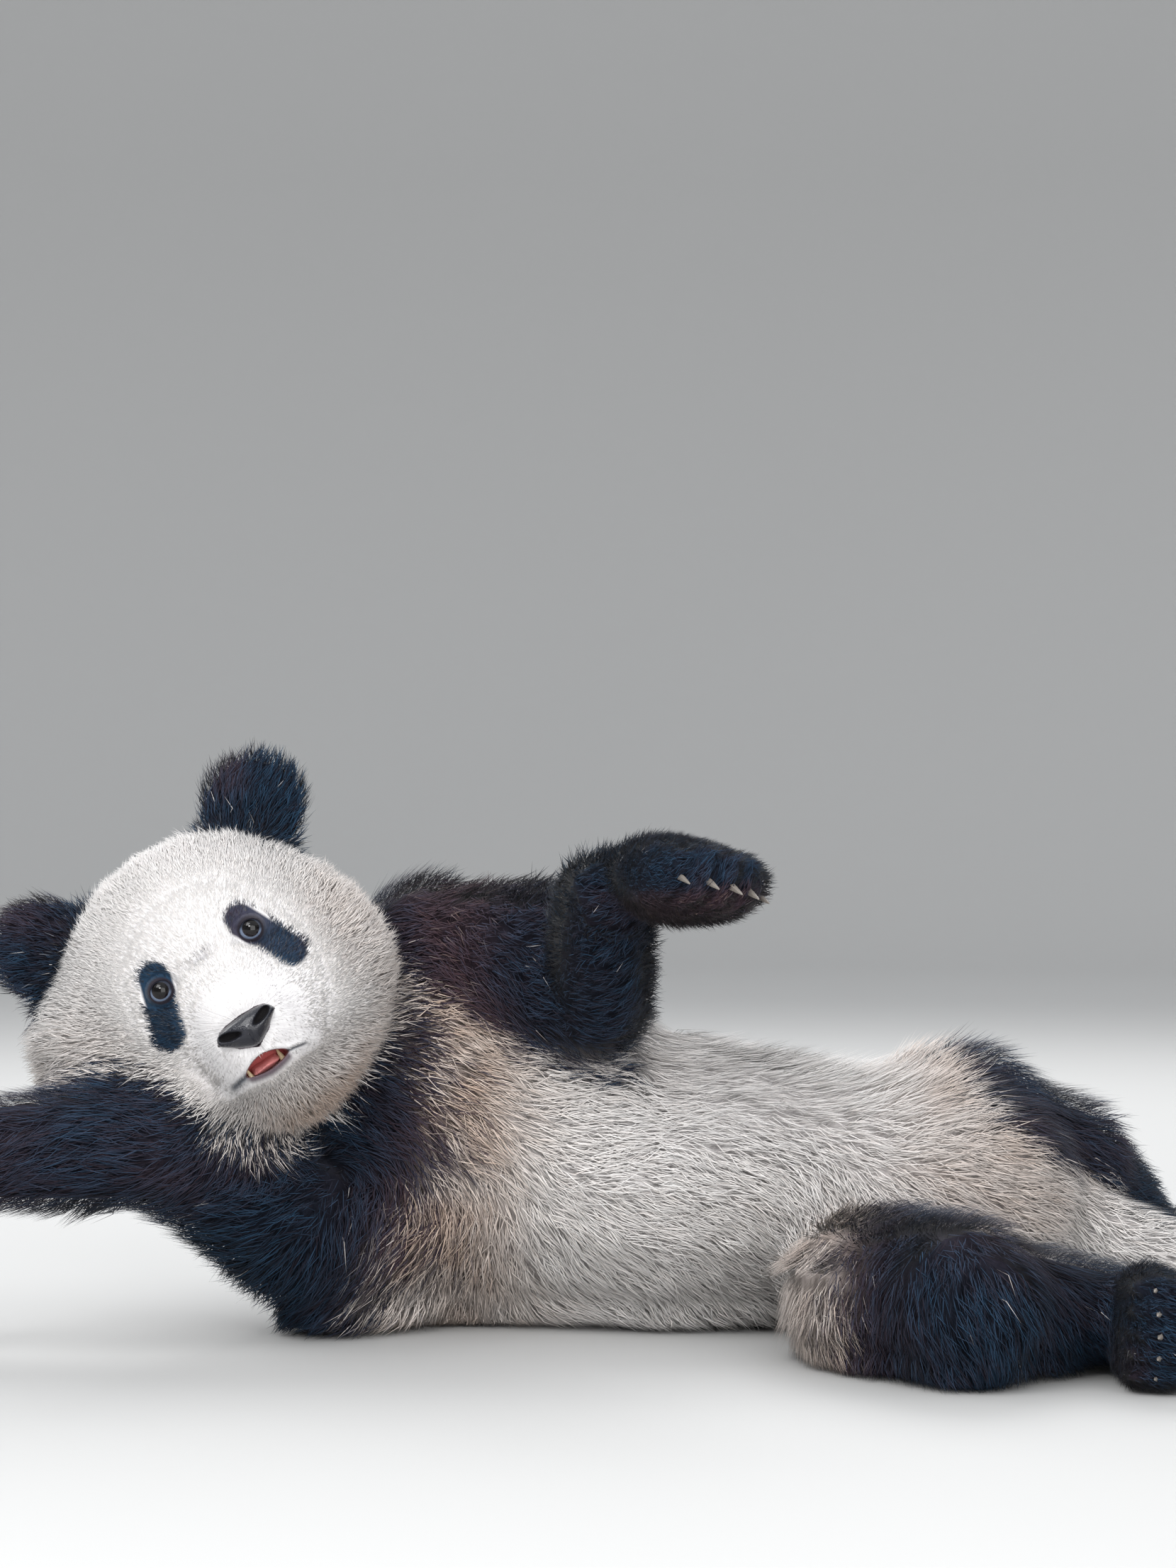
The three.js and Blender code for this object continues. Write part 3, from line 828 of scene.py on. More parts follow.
def lie_of_hair(points, normals, shares):
    """The way the tips point over the surface."""
    lie = usual(shares, "lie")
    head = part_of(shares, "head")[:, None]
    x, y, z = points.T
    down = 0.10 + 0.55 * smooth(0.17, 0.04, z)
    fan = smooth(-0.03, -0.12, x) * smooth(0.17, 0.08, z)
    trunk = part_of(shares, "trunk")
    lie = lie + np.stack([-1.3 * fan, 0 * x, -down - 0.6 * fan], 1) * trunk[:, None] + [0, 0, -0.08]
    leg = part_of(shares, "thigh_right", "shin_right")[:, None] * smooth(-0.05, -0.15, y)[:, None]
    lie = lie * (1 - 0.75 * leg) + np.array([0.35, 0.0, -0.95]) * leg
    away = unit(points - from_head(PARTING))
    lie = lie * (1 - head) + away * head
    for ear in ("ear_left", "ear_right"):
        share = part_of(shares, ear)[:, None]
        base = middle(ear) * 0.62 + from_head([0, -0.02, -0.11]) * 0.38
        lie = lie * (1 - share) + unit(points - base) * share
    lie = unit(lie - normals * (lie * normals).sum(1, keepdims=True))
    whorl = np.sin(21 * x + 13 * z + 2) * np.sin(17 * z - 11 * y + 1)
    whorl += 0.7 * np.sin(47 * x - 31 * z) * np.sin(39 * y + 43 * z)
    turn = (0.34 - 0.20 * head) * whorl[:, None]
    return lie * np.cos(turn) + np.cross(normals, lie) * np.sin(turn)


def shape_eyes(points):
    """Lids: the skin hugs the eyeball round an almond opening, and falls behind the ball inside it."""
    face = settings("panda_face")
    rim = 0.0011
    for hand, sign in (("left", 1), ("right", -1)):
        place = (points - EYE[hand]) @ HEAD_AXES.T
        tilt = radians(10) * sign
        a = place[:, 0] * cos(tilt) - place[:, 1] * sin(tilt)
        b = place[:, 0] * sin(tilt) + place[:, 1] * cos(tilt)
        ring = np.hypot(a / (face.lid_wide / 2), b / (face.lid_high / 2))
        flat = np.hypot(a, b)
        front = (place[:, 2] > -EYE_RADIUS * 0.6) & (flat < EYE_RADIUS * 2.4)
        ball = np.sqrt(np.maximum(EYE_RADIUS**2 - flat**2, 0))
        lid = np.sqrt(np.maximum((EYE_RADIUS + rim) ** 2 - flat**2, 0)) + 0.0006
        inside = 1 - smooth(0.84, 1.04, ring)
        near = 1 - smooth(EYE_RADIUS * 0.70, EYE_RADIUS * 1.35, flat)
        fold = 0.0014 * bell(ring, 1.65, 0.16)
        inner = 0.0025 * bell(a * sign, -0.015, 0.005) * bell(b, -0.002, 0.006)
        surface = place[:, 2] * (1 - near) + lid * near - fold - inner
        target = surface * (1 - inside) + (ball - 0.006) * inside
        moved = np.where(front, target - place[:, 2], 0)
        points = points + moved[:, None] * FORWARD
    return points


def nose_cover(points):
    """Distance of each point from the nose, and whether the nose lies before it."""
    tree = node_tree("nose")
    away, covered = np.full(len(points), 1.0), np.zeros(len(points))
    ahead = Vector(FORWARD)
    for i in np.flatnonzero(np.linalg.norm(points - NOSE, axis=1) < 0.045):
        away[i] = tree.find_nearest(points[i])[3]
        covered[i] = tree.ray_cast(Vector(points[i]) - ahead * 0.01, ahead, 0.05)[0] is not None
    return away, covered


def sink_nose(points, edges):
    """Sets the skin back round the nose and under it."""
    away, covered = nose_cover(points)
    rim = np.maximum(1 - smooth(0.001, 0.008, away), covered)
    dip = spread(0.0026 * rim + 0.0075 * covered, edges, 1)
    return points - dip[:, None] * FORWARD


def shape_muzzle(points):
    """Lips round the open mouth, a groove under the nose and a crease between the eyes."""
    place = to_head(points)
    u, v, w = place.T.copy()
    gap, above = lip_gap(place)
    crease = frown(place, 0.0030, 0.016)
    ahead = smooth(0.0, 0.02, w)
    across = np.abs(u - LIPS[0])
    reach = 1 - smooth(0.035, 0.040, across)
    # Draw the corners of the mesh that are near the lips' edge on to it.
    beyond = np.abs(above) - gap
    near = np.abs(beyond) < 0.0006
    place[:, 1] += np.where(near & (reach > 0.5) & (ahead > 0.5), -np.sign(above) * beyond * 0.9, 0)
    deep = 0.0016 + 0.019 * smooth(0.0, 0.45, opening(across))
    hollow = (1 - smooth(-0.0012, 0.0, beyond)) * reach * ahead
    place[:, 2] -= deep * hollow
    place[:, 2] += 0.0012 * bell(beyond, 0.0024, 0.0022) * (1 - smooth(0.026, 0.040, across)) * ahead
    place[:, 2] += 0.0022 * bell(across, 0.020, 0.012) * bell(v, -0.084, 0.009) * ahead
    groove = bell(u, NOSE_PLACE[0], 0.0016) * ahead * smooth(0.0, 0.003, beyond) * (above > 0)
    groove *= 1 - smooth(-0.016, -0.011, v - NOSE_PLACE[1])
    place[:, 2] -= 0.0020 * groove
    place[:, 2] -= 0.0003 * crease * smooth(-0.03, 0.0, w)
    return from_head(place)


WRIST = middle("hand_left") * [0, 1, 1] + [0.002, 0.065, 0.035]


def near_claws(points):
    """Whether each point is on the toes' half of a paw."""
    near = np.zeros(len(points), bool)
    for claws in PAW_CLAWS.values():
        for name in claws:
            near |= np.linalg.norm(points - middle(name), axis=1) < 0.060
    return near


def shape_paws(points, normals):
    """Fills out the rim of each paw, and parts its toes."""
    for paw, claws in PAW_CLAWS.items():
        claws = np.array([middle(name) for name in claws])
        across = unit(claws[-1] - claws[0])
        along = claws.mean(0) - middle(paw)
        along = unit(along - across * (along @ across))
        axes = np.array([along, across, np.cross(along, across)])
        own = (points_of(NODES[paw]) - middle(paw)) @ axes.T
        heart = (own.max(0) + own.min(0)) / 2
        half = (own.max(0) - own.min(0)) / 2
        place = (points - middle(paw)) @ axes.T - heart
        mine = (np.abs(place) < half + [0.012, 0.012, 0.016]).all(1)
        rim = np.clip((np.maximum(place[:, 0], 0) / half[0]) ** 2 + (place[:, 1] / half[1]) ** 2, 0, 0.90)
        full = (1 - rim**2) ** 0.25 / (1 - rim) ** 0.5 - 1
        full *= smooth(-0.45, 0.15, place[:, 0] / half[0]) * mine
        swell = 1.10 if paw == "hand_left" else 1.0
        lifted = place[:, 2] * (full + (swell - 1) * mine)
        toe = (claws - middle(paw)) @ axes.T - heart
        gap = (toe[-1, 1] - toe[0, 1]) / 4
        ridge = np.cos(2 * pi * (place[:, 1] - toe[0, 1]) / gap)
        ridge *= smooth(-0.050, -0.022, place[:, 0] - toe[:, 0].mean()) * mine
        ridge *= 1 - smooth(0.5, 0.75, np.abs(place[:, 1] - toe[:, 1].mean()) / (4 * gap))
        points = points + lifted[:, None] * axes[2] + normals * (0.0030 * ridge)[:, None]
    return points


def comb_of(place):
    """Coordinates that run round the nose and away from it, for streaks that follow short fur."""
    away = place - PARTING
    turn = np.arctan2(away[:, 1], away[:, 0])
    far = np.linalg.norm(away, axis=1)
    return np.stack([np.cos(turn) * 0.06, np.sin(turn) * 0.06, far * 0.4], 1)


class PANDA_OT_skin(bpy.types.Operator):
    """Joins the nodes of flesh into one skin under the coat, and models the face"""

    bl_idname = "panda.skin"
    bl_label = "Skin"

    def execute(self, context):
        skin = joined_flesh()
        points, edges = points_of(skin), edges_of(skin)
        shares = spread(shares_of(distances(points), 0.012), edges, 3)
        points = even(points, edges, 9)
        joint = np.clip(2.4 * (1 - shares.max(1)), 0, 1)
        joint *= 1 - part_of(shares, "head", "ear_left", "ear_right")
        points += (spread(points, edges, 16) - points) * spread(joint, edges, 2)[:, None]
        set_points(skin, points)
        depth = spread(coat_depth(points_of(skin), shares), edges, 3)
        inward = unit(spread(normals_of(skin), edges, 3))
        set_points(skin, even(points_of(skin) - inward * (depth + GROW)[:, None], edges, 4))
        self.fill_muzzle_root(skin, edges)
        refine(skin, near_claws(points_of(skin)))
        set_points(skin, shape_paws(points_of(skin), normals_of(skin)))
        for reach in (0.110, 0.085):
            refine(skin, face_distance(to_head(points_of(skin))) < reach)
        self.even_face(skin)
        self.refine_details(skin)
        points = shape_eyes(shape_muzzle(sink_nose(points_of(skin), edges_of(skin))))
        points[:, 2] = np.maximum(points[:, 2], SKIN_OFF_FLOOR)
        set_points(skin, points)
        edit_whole(
            skin,
            (bpy.ops.mesh.quads_convert_to_tris, {}),
            (bpy.ops.mesh.normals_make_consistent, {"inside": False}),
        )
        self.store(skin)
        self.unwrap(skin)
        set_shading(skin, skin_material())
        settle(skin, FLESH)
        return {"FINISHED"}

    def fill_muzzle_root(self, skin, edges):
        """Fills the hollow where the muzzle rises from the face, and lowers the back of the left wrist."""
        points = points_of(skin)
        place = to_head(points)
        ring = np.hypot(place[:, 0] + 0.004, place[:, 1] + 0.070)
        room = (1 - smooth(0.070, 0.100, ring)) * smooth(-0.04, -0.01, place[:, 2])
        room *= smooth(-0.128, -0.104, place[:, 1])
        filled = place[:, 2]
        for _ in range(80):
            filled = np.maximum(place[:, 2], spread(filled, edges, 1))
        place[:, 2] += np.minimum(spread(filled, edges, 3) - place[:, 2], 0.014) * spread(room, edges, 3)
        points = from_head(place)
        front = (1 - smooth(0.095, 0.135, face_distance(place))) * smooth(-0.125, -0.105, place[:, 1])
        points += (spread(points, edges, 7) - points) * front[:, None]
        points[:, 2] -= 0.010 * bell(np.linalg.norm(points - WRIST, axis=1), 0, 0.034)
        set_points(skin, points)

    def even_face(self, skin):
        """Smooths the face's front."""
        points, edges = points_of(skin), edges_of(skin)
        face = 1 - smooth(0.10, 0.115, face_distance(to_head(points)))
        set_points(skin, points + (even(points, edges, 6) - points) * face[:, None])

    def refine_details(self, skin):
        """Finer faces round the eyes and the lips."""
        place = to_head(points_of(skin))
        ahead = place[:, 2] > 0.0
        lips = (np.abs(lip_gap(place)[1]) < 0.014) & (np.abs(place[:, 0] - LIPS[0]) < 0.042)
        eyes = (eye_distance(place) < 0.021) & (place[:, 2] > -0.02)
        away, covered = nose_cover(points_of(skin))
        refine(skin, (lips & ahead) | eyes | (away < 0.007) | (covered > 0))

    def store(self, skin):
        """Keeps what the coat and the finish need on the skin's points."""
        points, normals, edges = points_of(skin), normals_of(skin), edges_of(skin)
        place = to_head(points)
        found = distances(points)
        shares = spread(shares_of(found, 0.012), edges, 3)
        found[:, [FLESH.index("ear_left"), FLESH.index("ear_right")]] -= 0.006
        sharp = shares_of(found, 0.0018)
        rim, inside = lip_mask(place)
        lid = (1 - smooth(0.0105, 0.0125, eye_distance(place))) * smooth(-0.015, -0.01, place[:, 2])
        black = np.maximum.reduce([black_share(points, sharp), patch_share(place), grey_share(place) * 0.9])
        depth = coat_depth(points, shares)
        length = usual(shares, "length") * depth / usual(shares, "depth")
        length = np.maximum(length, 0.5 * usual(shares, "length") * (1 - part_of(shares, "head")))
        away, under = nose_cover(points)
        under = np.maximum(under, away < 0.0012)
        length = np.maximum(length, 0.0045) * (1 - np.maximum.reduce([rim, inside, lid, under]))
        put_values(skin, "lie", "FLOAT_VECTOR", spread(lie_of_hair(points, normals, shares), edges, 10))
        put_values(skin, "hair_length", "FLOAT", length)
        put_values(skin, "lift", "FLOAT", self.lift(points, place, shares))
        put_values(skin, "owner", "FLOAT", shares.argmax(1))
        tip = 0.95 - 0.5 * smooth(0.003, 0.02, length)
        # A larger lot in the eye patches paints more sheen into them.
        marks = np.stack([black, stain_share(points, shares), 0.25 + 0.28 * patch_share(place), tip], 1)
        put_values(skin, "coat", "FLOAT_COLOR", marks)
        bare = np.stack([np.maximum(rim, under), inside, lid, np.ones(len(lid))], 1)
        put_values(skin, "bare", "FLOAT_COLOR", bare)
        put_values(skin, "comb", "FLOAT_VECTOR", comb_of(place))

    def lift(self, points, place, shares):
        """Degrees that the tufts stand off the skin: little on the face, most on the cheeks."""
        lift = usual(shares, "lift")
        face = part_of(shares, "head") * (1 - smooth(0.07, 0.12, face_distance(place)))
        cheek = smooth(0.095, 0.130, np.abs(place[:, 0])) * (1 - smooth(0.03, 0.07, place[:, 1]))
        chin = smooth(-0.104, -0.125, place[:, 1])
        x, _, z = points.T
        fluff = part_of(shares, "trunk") * smooth(0.15, 0.21, z) * smooth(0.05, 0.10, x)
        fluff *= smooth(0.40, 0.30, x)
        ruff = part_of(shares, "head") * np.maximum(cheek, chin)
        return lift * (1 - face) + 7 * face + 18 * ruff + 16 * fluff

    def unwrap(self, skin):
        """Gives the skin the map on which the tufts' roots are found too."""
        edit_whole(skin, (bpy.ops.uv.smart_project, {"angle_limit": radians(66), "island_margin": 0.002}))
        skin.data.uv_layers[0].name = "OFBake"


# ---- Coat ----

PIECES = {
    "head": ("head",),
    "neck": ("ear_left", "ear_right", "neck"),
    "trunk": ("trunk", "tail"),
    "arm_left": ("upper_arm_left", "forearm_left", "hand_left"),
    "arm_right": ("upper_arm_right", "forearm_right", "hand_right"),
    "leg_left": ("thigh_left", "shin_left", "foot_left"),
    "leg_right": ("thigh_right", "shin_right", "foot_right"),
}
PATCH = 0.003  # a tuft's share of the map
SHORT = 0.0085  # tufts shorter than this are plain spikes
HIDING = 0.011  # tufts longer than this hide the skin
MOST_TRIANGLES = 195000  # in one piece


def read_values(piece, name, width):
    """One number, three or four for each point of the mesh."""
    field = {1: "value", 3: "vector", 4: "color"}[width]
    attribute = piece.data.attributes[name]
    flat = np.empty(len(attribute.data) * width, np.float32)
    attribute.data.foreach_get(field, flat)
    return flat.reshape(-1, width).astype(float) if width > 1 else flat.astype(float)


def triangle_map(skin, triangles):
    """Place of each triangle's corners on the skin's unwrap."""
    layer = skin.data.uv_layers["OFBake"]
    flat = np.empty(len(layer.data) * 2, np.float32)
    layer.data.foreach_get("uv", flat)
    loops = np.empty(len(triangles) * 3, np.int32)
    skin.data.loop_triangles.foreach_get("loops", loops)
    return flat.reshape(-1, 2)[loops].reshape(-1, 3, 2)


class Roots:
    """Roots of tufts: points drawn at random over the skin, with what the skin says there."""

    def __init__(self, skin, count, draw, shortest, longest):
        triangles, area = triangles_of(skin)
        length = read_values(skin, "hair_length", 1)
        there = length[triangles].mean(1)
        weight = area / (np.maximum(there, 0.004) * self.width_of(there))
        weight *= 0.06 + 0.94 * smooth(0.004, 0.0115, there)
        weight[(there < shortest) | (there >= longest)] = 0
        pick = np.sort(draw.choice(len(triangles), size=count, p=weight / weight.sum()))
        a, b = draw.random((2, count))
        fold = a + b > 1
        a[fold], b[fold] = 1 - a[fold], 1 - b[fold]
        share = np.stack([1 - a - b, a, b], 1)
        corner = triangles[pick]

        def at(values):
            return (values[corner] * share.reshape(share.shape + (1,) * (values.ndim - 1))).sum(1)

        self.count = count
        self.place = at(points_of(skin))
        self.normal = unit(at(normals_of(skin)))
        lie = at(read_values(skin, "lie", 3))
        self.lie = unit(lie - self.normal * (lie * self.normal).sum(1, keepdims=True))
        self.length = at(length)
        self.width = self.width_of(self.length)
        self.lift = np.radians(at(read_values(skin, "lift", 1)))
        self.marks = at(read_values(skin, "coat", 4))
        self.owner = read_values(skin, "owner", 1)[corner[:, 0]].astype(int)
        self.map = (triangle_map(skin, triangles)[pick] * share[:, :, None]).sum(1)

    @staticmethod
    def width_of(length):
        """Long tufts are wider."""
        return 0.0005 + 0.0135 * length


def clump(roots, tips, draw):
    """Draws the tips of neighbouring tufts together, first into large locks and then into small ones."""
    return gather(roots, gather(roots, tips, draw, 70, 0.030), draw, 11, 0.022)


def gather(roots, tips, draw, size, reach):
    """Draws tips towards the tip of one tuft in so many, where it is within reach."""
    heads = np.flatnonzero(draw.random(roots.count) < 1 / size)
    tree = kdtree.KDTree(len(heads))
    for k, i in enumerate(heads):
        tree.insert(roots.place[i], k)
    tree.balance()
    own = np.array([tree.find(place)[1] for place in roots.place])
    target = tips[heads[own]]
    gap = np.linalg.norm(target - tips, axis=1)
    hold = (0.08 + 0.28 * draw.random(roots.count)) * smooth(0.012, 0.04, roots.length)
    hold *= 1 - smooth(reach * 0.45, reach, gap)
    return tips + (target - tips) * hold[:, None]


class Tuft:
    """The points and faces of one kind of tuft, and their place from root to tip and side to side."""

    def __init__(self, faces, rise, across):
        self.faces = np.array(faces)
        self.rise = np.array(rise)
        self.across = np.array(across)
        self.size = len(rise)


LOCK = Tuft(
    [[0, 1, 2], [0, 2, 3], [0, 3, 1], [2, 1, 4], [3, 2, 4], [1, 3, 4]],
    [0.0, 0.45, 0.45, 0.45, 1.0],
    [0.5, 0.0, 1.0, 0.5, 0.5],
)
SPIKE = Tuft([[0, 1, 2], [1, 0, 3], [2, 1, 3], [0, 2, 3]], [0.0, 0.0, 0.0, 1.0], [0.0, 1.0, 0.5, 0.5])


def swung(roots, draw, swing):
    """The way each tuft lies after a small turn of its own, and the way across it."""
    turn = draw.normal(0, swing, roots.count)[:, None]
    across = np.cross(roots.lie, roots.normal)
    lie = unit(roots.lie * np.cos(turn) + across * np.sin(turn))
    return lie, np.cross(lie, roots.normal)


def ring(roots, place, across, width, rise):
    """The three corners of a tuft's cross-section."""
    half = across * (width / 2)[:, None]
    return [place - half, place + half, place + roots.normal * (width * rise)[:, None]]


def leaning(lie, roots, angle):
    """Directions at an angle above the way that the tufts lie."""
    return lie * np.cos(angle)[:, None] + roots.normal * np.sin(angle)[:, None]


def lock_points(roots, draw):
    """Long tufts, which rise from the skin and bend over along it."""
    coat = settings("panda_coat")
    lie, across = swung(roots, draw, 0.17)
    length = roots.length * coat.long * (0.76 + 0.46 * draw.random(roots.count))
    guard = draw.random(roots.count) < 0.10
    length[guard] *= 1.12
    lift = roots.lift * (0.8 + 0.55 * draw.random(roots.count))
    start = roots.place - roots.normal * np.minimum(0.0015, roots.length * 0.1)[:, None]
    sway = draw.normal(0, 0.24, roots.count)[:, None]

    def step(angle, share, side):
        flat = lie * np.cos(side) + across * np.sin(side)
        return leaning(flat, roots, angle) * (length * share)[:, None]

    bend = start + step(np.minimum(lift * 1.45, 1.3), 0.45, sway)
    tips = clump(roots, bend + step(lift * 0.6, 0.55, -sway), draw)
    width = roots.width * (0.75 + 0.5 * draw.random(roots.count))
    width[guard] *= 0.6
    return np.stack([start, *ring(roots, bend, across, width, 0.16), tips], 1)


def spike_points(roots, draw):
    """Short tufts of the face and the lips, almost flat on the skin."""
    coat = settings("panda_coat")
    lie, across = swung(roots, draw, 0.22)
    length = roots.length * coat.long * (0.75 + 0.5 * draw.random(roots.count))
    lift = roots.lift * (0.5 + draw.random(roots.count))
    start = roots.place - roots.normal * 0.0003
    tips = start + leaning(lie, roots, lift) * length[:, None]
    width = roots.width * (0.9 + 0.8 * draw.random(roots.count))
    return np.stack([*ring(roots, start, across, width, 0.12), tips], 1)


def tuft_mesh(name, kind, points, marks, ground, place_on_map):
    """One mesh of many closed tufts of a kind."""
    count = len(points)
    faces = (kind.faces[None] + kind.size * np.arange(count)[:, None, None]).reshape(-1, 3)
    mesh = bpy.data.meshes.new(name)
    mesh.vertices.add(count * kind.size)
    mesh.vertices.foreach_set("co", points.astype(np.float32).ravel())
    mesh.loops.add(len(faces) * 3)
    mesh.loops.foreach_set("vertex_index", faces.astype(np.int32).ravel())
    mesh.polygons.add(len(faces))
    mesh.polygons.foreach_set("loop_start", np.arange(0, len(faces) * 3, 3, dtype=np.int32))
    mesh.update(calc_edges=True)
    layer = mesh.uv_layers.new(name="OFBake")
    spot = np.stack([kind.across, kind.rise], 1) - 0.5
    spots = np.clip(place_on_map[:, None] + PATCH * spot[None], 0, 1).reshape(-1, 2)
    layer.data.foreach_set("uv", spots[faces.ravel()].astype(np.float32).ravel())
    piece = bpy.data.objects.new(name, mesh)
    bpy.context.scene.collection.objects.link(piece)
    put_values(piece, "coat", "FLOAT_COLOR", marks)
    put_values(piece, "ground", "FLOAT_VECTOR", np.repeat(ground, kind.size, axis=0))
    return piece


class PANDA_OT_coat(bpy.types.Operator):
    """Roots tufts all over the skin, lying the way the coat does, with the skin's own markings"""

    bl_idname = "panda.coat"
    bl_label = "Coat"

    def execute(self, context):
        coat = settings("panda_coat")
        draw = np.random.default_rng(coat.seed)
        skin = bpy.data.objects["skin"]
        fewer = 1
        material = hair_material("coat_hair")
        locks = Roots(skin, coat.locks // fewer, draw, SHORT * 0.75, 1.0)
        self.lay("coat", LOCK, locks, lock_points(locks, draw), draw, material)
        spikes = Roots(skin, coat.spikes // fewer, draw, 0.0015, SHORT)
        self.lay("down", SPIKE, spikes, spike_points(spikes, draw), draw, material)
        self.thin(skin)
        return {"FINISHED"}

    def thin(self, skin):
        """Leaves the skin fewer faces where the long tufts hide it."""
        triangles, _ = triangles_of(skin)
        hidden = read_values(skin, "hair_length", 1) > HIDING
        keep = 1 - (len(triangles) - MOST_TRIANGLES) / hidden[triangles].all(1).sum()
        if keep < 1:
            edit_chosen(skin, hidden, "VERT", bpy.ops.mesh.decimate, ratio=keep)

    def lay(self, prefix, kind, roots, points, draw, material):
        """Makes the meshes of one kind of tuft, region by region."""
        points[:, :, 2] = np.maximum(points[:, :, 2], TUFTS_OFF_FLOOR)
        marks = self.marks(kind, roots, draw)
        most = MOST_TRIANGLES // len(kind.faces)
        for region, owners in PIECES.items():
            mine = np.flatnonzero(np.isin(roots.owner, [FLESH.index(owner) for owner in owners]))
            if not len(mine):
                continue
            for k, part in enumerate(np.array_split(mine, -(-len(mine) // most))):
                name = f"{prefix}_{region}_{k + 1}"
                piece = tuft_mesh(name, kind, points[part], marks[part], roots.normal[part], roots.map[part])
                set_shading(piece, material)
                settle(piece)

    def marks(self, kind, roots, draw):
        """Each tuft is black or pale; where the coat changes, the two kinds mingle."""
        count = roots.count
        sudden = 6 - 3.5 * roots.marks[:, 1]
        black = np.clip(0.5 + (roots.marks[:, 0] * 1.2 - 0.1 - draw.random(count)) * sudden, 0, 1)
        black[draw.random(count) < 0.0018] *= 0.5
        if kind is SPIKE:
            uneven = draw.normal(0, 0.05, count) * (roots.marks[:, 0] > 0.02)
            black = np.clip(roots.marks[:, 0] + uneven, 0, 1)
        stain = np.clip(roots.marks[:, 1] + draw.normal(0, 0.07, count), 0, 1)
        marks = np.empty((count, kind.size, 4))
        marks[:, :, 0] = black[:, None]
        marks[:, :, 1] = stain[:, None]
        marks[:, :, 2] = draw.random(count)[:, None]
        marks[:, :, 3] = kind.rise[None]
        return marks


# ---- Eyes ----


class PANDA_OT_eyes(bpy.types.Operator):
    """Models each eyeball with its bulging cornea, looking out of the face"""

    bl_idname = "panda.eyes"
    bl_label = "Eyes"

    def execute(self, context):
        material = eye_material()
        for hand, sign in (("left", 1), ("right", -1)):
            gaze = Vector(unit(FORWARD + 0.03 * sign * LEFT + 0.05 * UP))
            bpy.ops.mesh.primitive_uv_sphere_add(
                segments=48, ring_count=32, radius=EYE_RADIUS, location=(0, 0, 0)
            )
            ball = context.object
            ball.name = ball.data.name = f"eyeball_{hand}"
            points = points_of(ball)
            height = points[:, 2] / EYE_RADIUS
            points *= 1 + 0.05 * smooth(0.80, 0.98, height)[:, None]
            set_points(ball, points)
            turn = Vector((0, 0, 1)).rotation_difference(gaze).to_matrix().to_4x4()
            ball.data.transform(Matrix.Translation(Vector(EYE[hand])) @ turn)
            # Marks the upper part of the ball for the painted shadow of the upper lid.
            raised = (points_of(ball)[:, 2] - EYE[hand][2]) / EYE_RADIUS
            put_values(ball, "shaded", "FLOAT", smooth(-0.12, 0.22, raised))
            set_shading(ball, material)
            settle(ball, [f"eye_{hand}"])
        return {"FINISHED"}


# ---- Nose ----


class PANDA_OT_nose(bpy.types.Operator):
    """Models the bare nose with its two slanting nostrils"""

    bl_idname = "panda.nose"
    bl_label = "Nose"

    def execute(self, context):
        face = settings("panda_face")
        nose = copy_node("nose", "nose_pad")
        put_modifier(nose, "REMESH", mode="VOXEL", voxel_size=0.0010)
        place = to_head(points_of(nose)) - NOSE_PLACE
        round_off = spread(place, edges_of(nose), 90)
        place = round_off * ((place.max(0) - place.min(0)) / (round_off.max(0) - round_off.min(0)))
        front = smooth(-0.002, 0.004, place[:, 2])
        dark = np.zeros(len(place))
        for hand in (-1, 1):
            u, v = place[:, 0] * hand - 0.0155, place[:, 1] - 0.0025
            slant = radians(17)
            along, away = u * cos(slant) + v * sin(slant), v * cos(slant) - u * sin(slant)
            hole = (along / 0.0102) ** 2 + (away / (0.0031 + 0.06 * (along + 0.01))) ** 2
            place[:, 2] -= 0.0088 * (1 - smooth(0.30, 1.20, hole)) * front
            dark = np.maximum(dark, (1 - smooth(0.5, 1.2, hole)) * front)
            place[:, 2] += 0.0013 * bell(away, -0.0052, 0.0018) * bell(along, 0, 0.009) * front
        split = bell(place[:, 0], 0, 0.0012) * smooth(0.0, -0.006, place[:, 1])
        place[:, 2] -= 0.0018 * split * front
        set_points(nose, from_head(place + NOSE_PLACE))
        # The hole mask paints the nostrils near black: painted shade inside them.
        put_values(nose, "hole", "FLOAT", dark)
        grain = bpy.data.node_groups.get("grain") or grain_group()
        material = bare_material("nose_skin", face.nose, 0.27, grain, 700.0, 0.0003, 0.4)
        self.shade_nostrils(material)
        set_shading(nose, material)
        settle(nose, ["nose"])
        return {"FINISHED"}

    def shade_nostrils(self, material):
        """Paints the nostrils darker, as painted shade inside them, and makes them dull."""
        nodes, links = material.node_tree.nodes, material.node_tree.links
        shader = nodes["Principled BSDF"]
        shader.inputs["Specular IOR Level"].default_value = 0.35
        hole = nodes.new("ShaderNodeAttribute")
        hole.attribute_name = "hole"
        colour = shader.inputs["Base Color"].links[0].from_socket
        nostril_shade = mixer(nodes, links, hole.outputs["Fac"], colour, (0.004, 0.003, 0.004, 1))
        links.new(nostril_shade, shader.inputs["Base Color"])
        for name, outside, within in (("Roughness", 0.27, 0.9), ("Coat Weight", 0.4, 0.0)):
            links.new(mixer(nodes, links, hole.outputs["Fac"], outside, within, "FLOAT"), shader.inputs[name])


# ---- Mouth ----


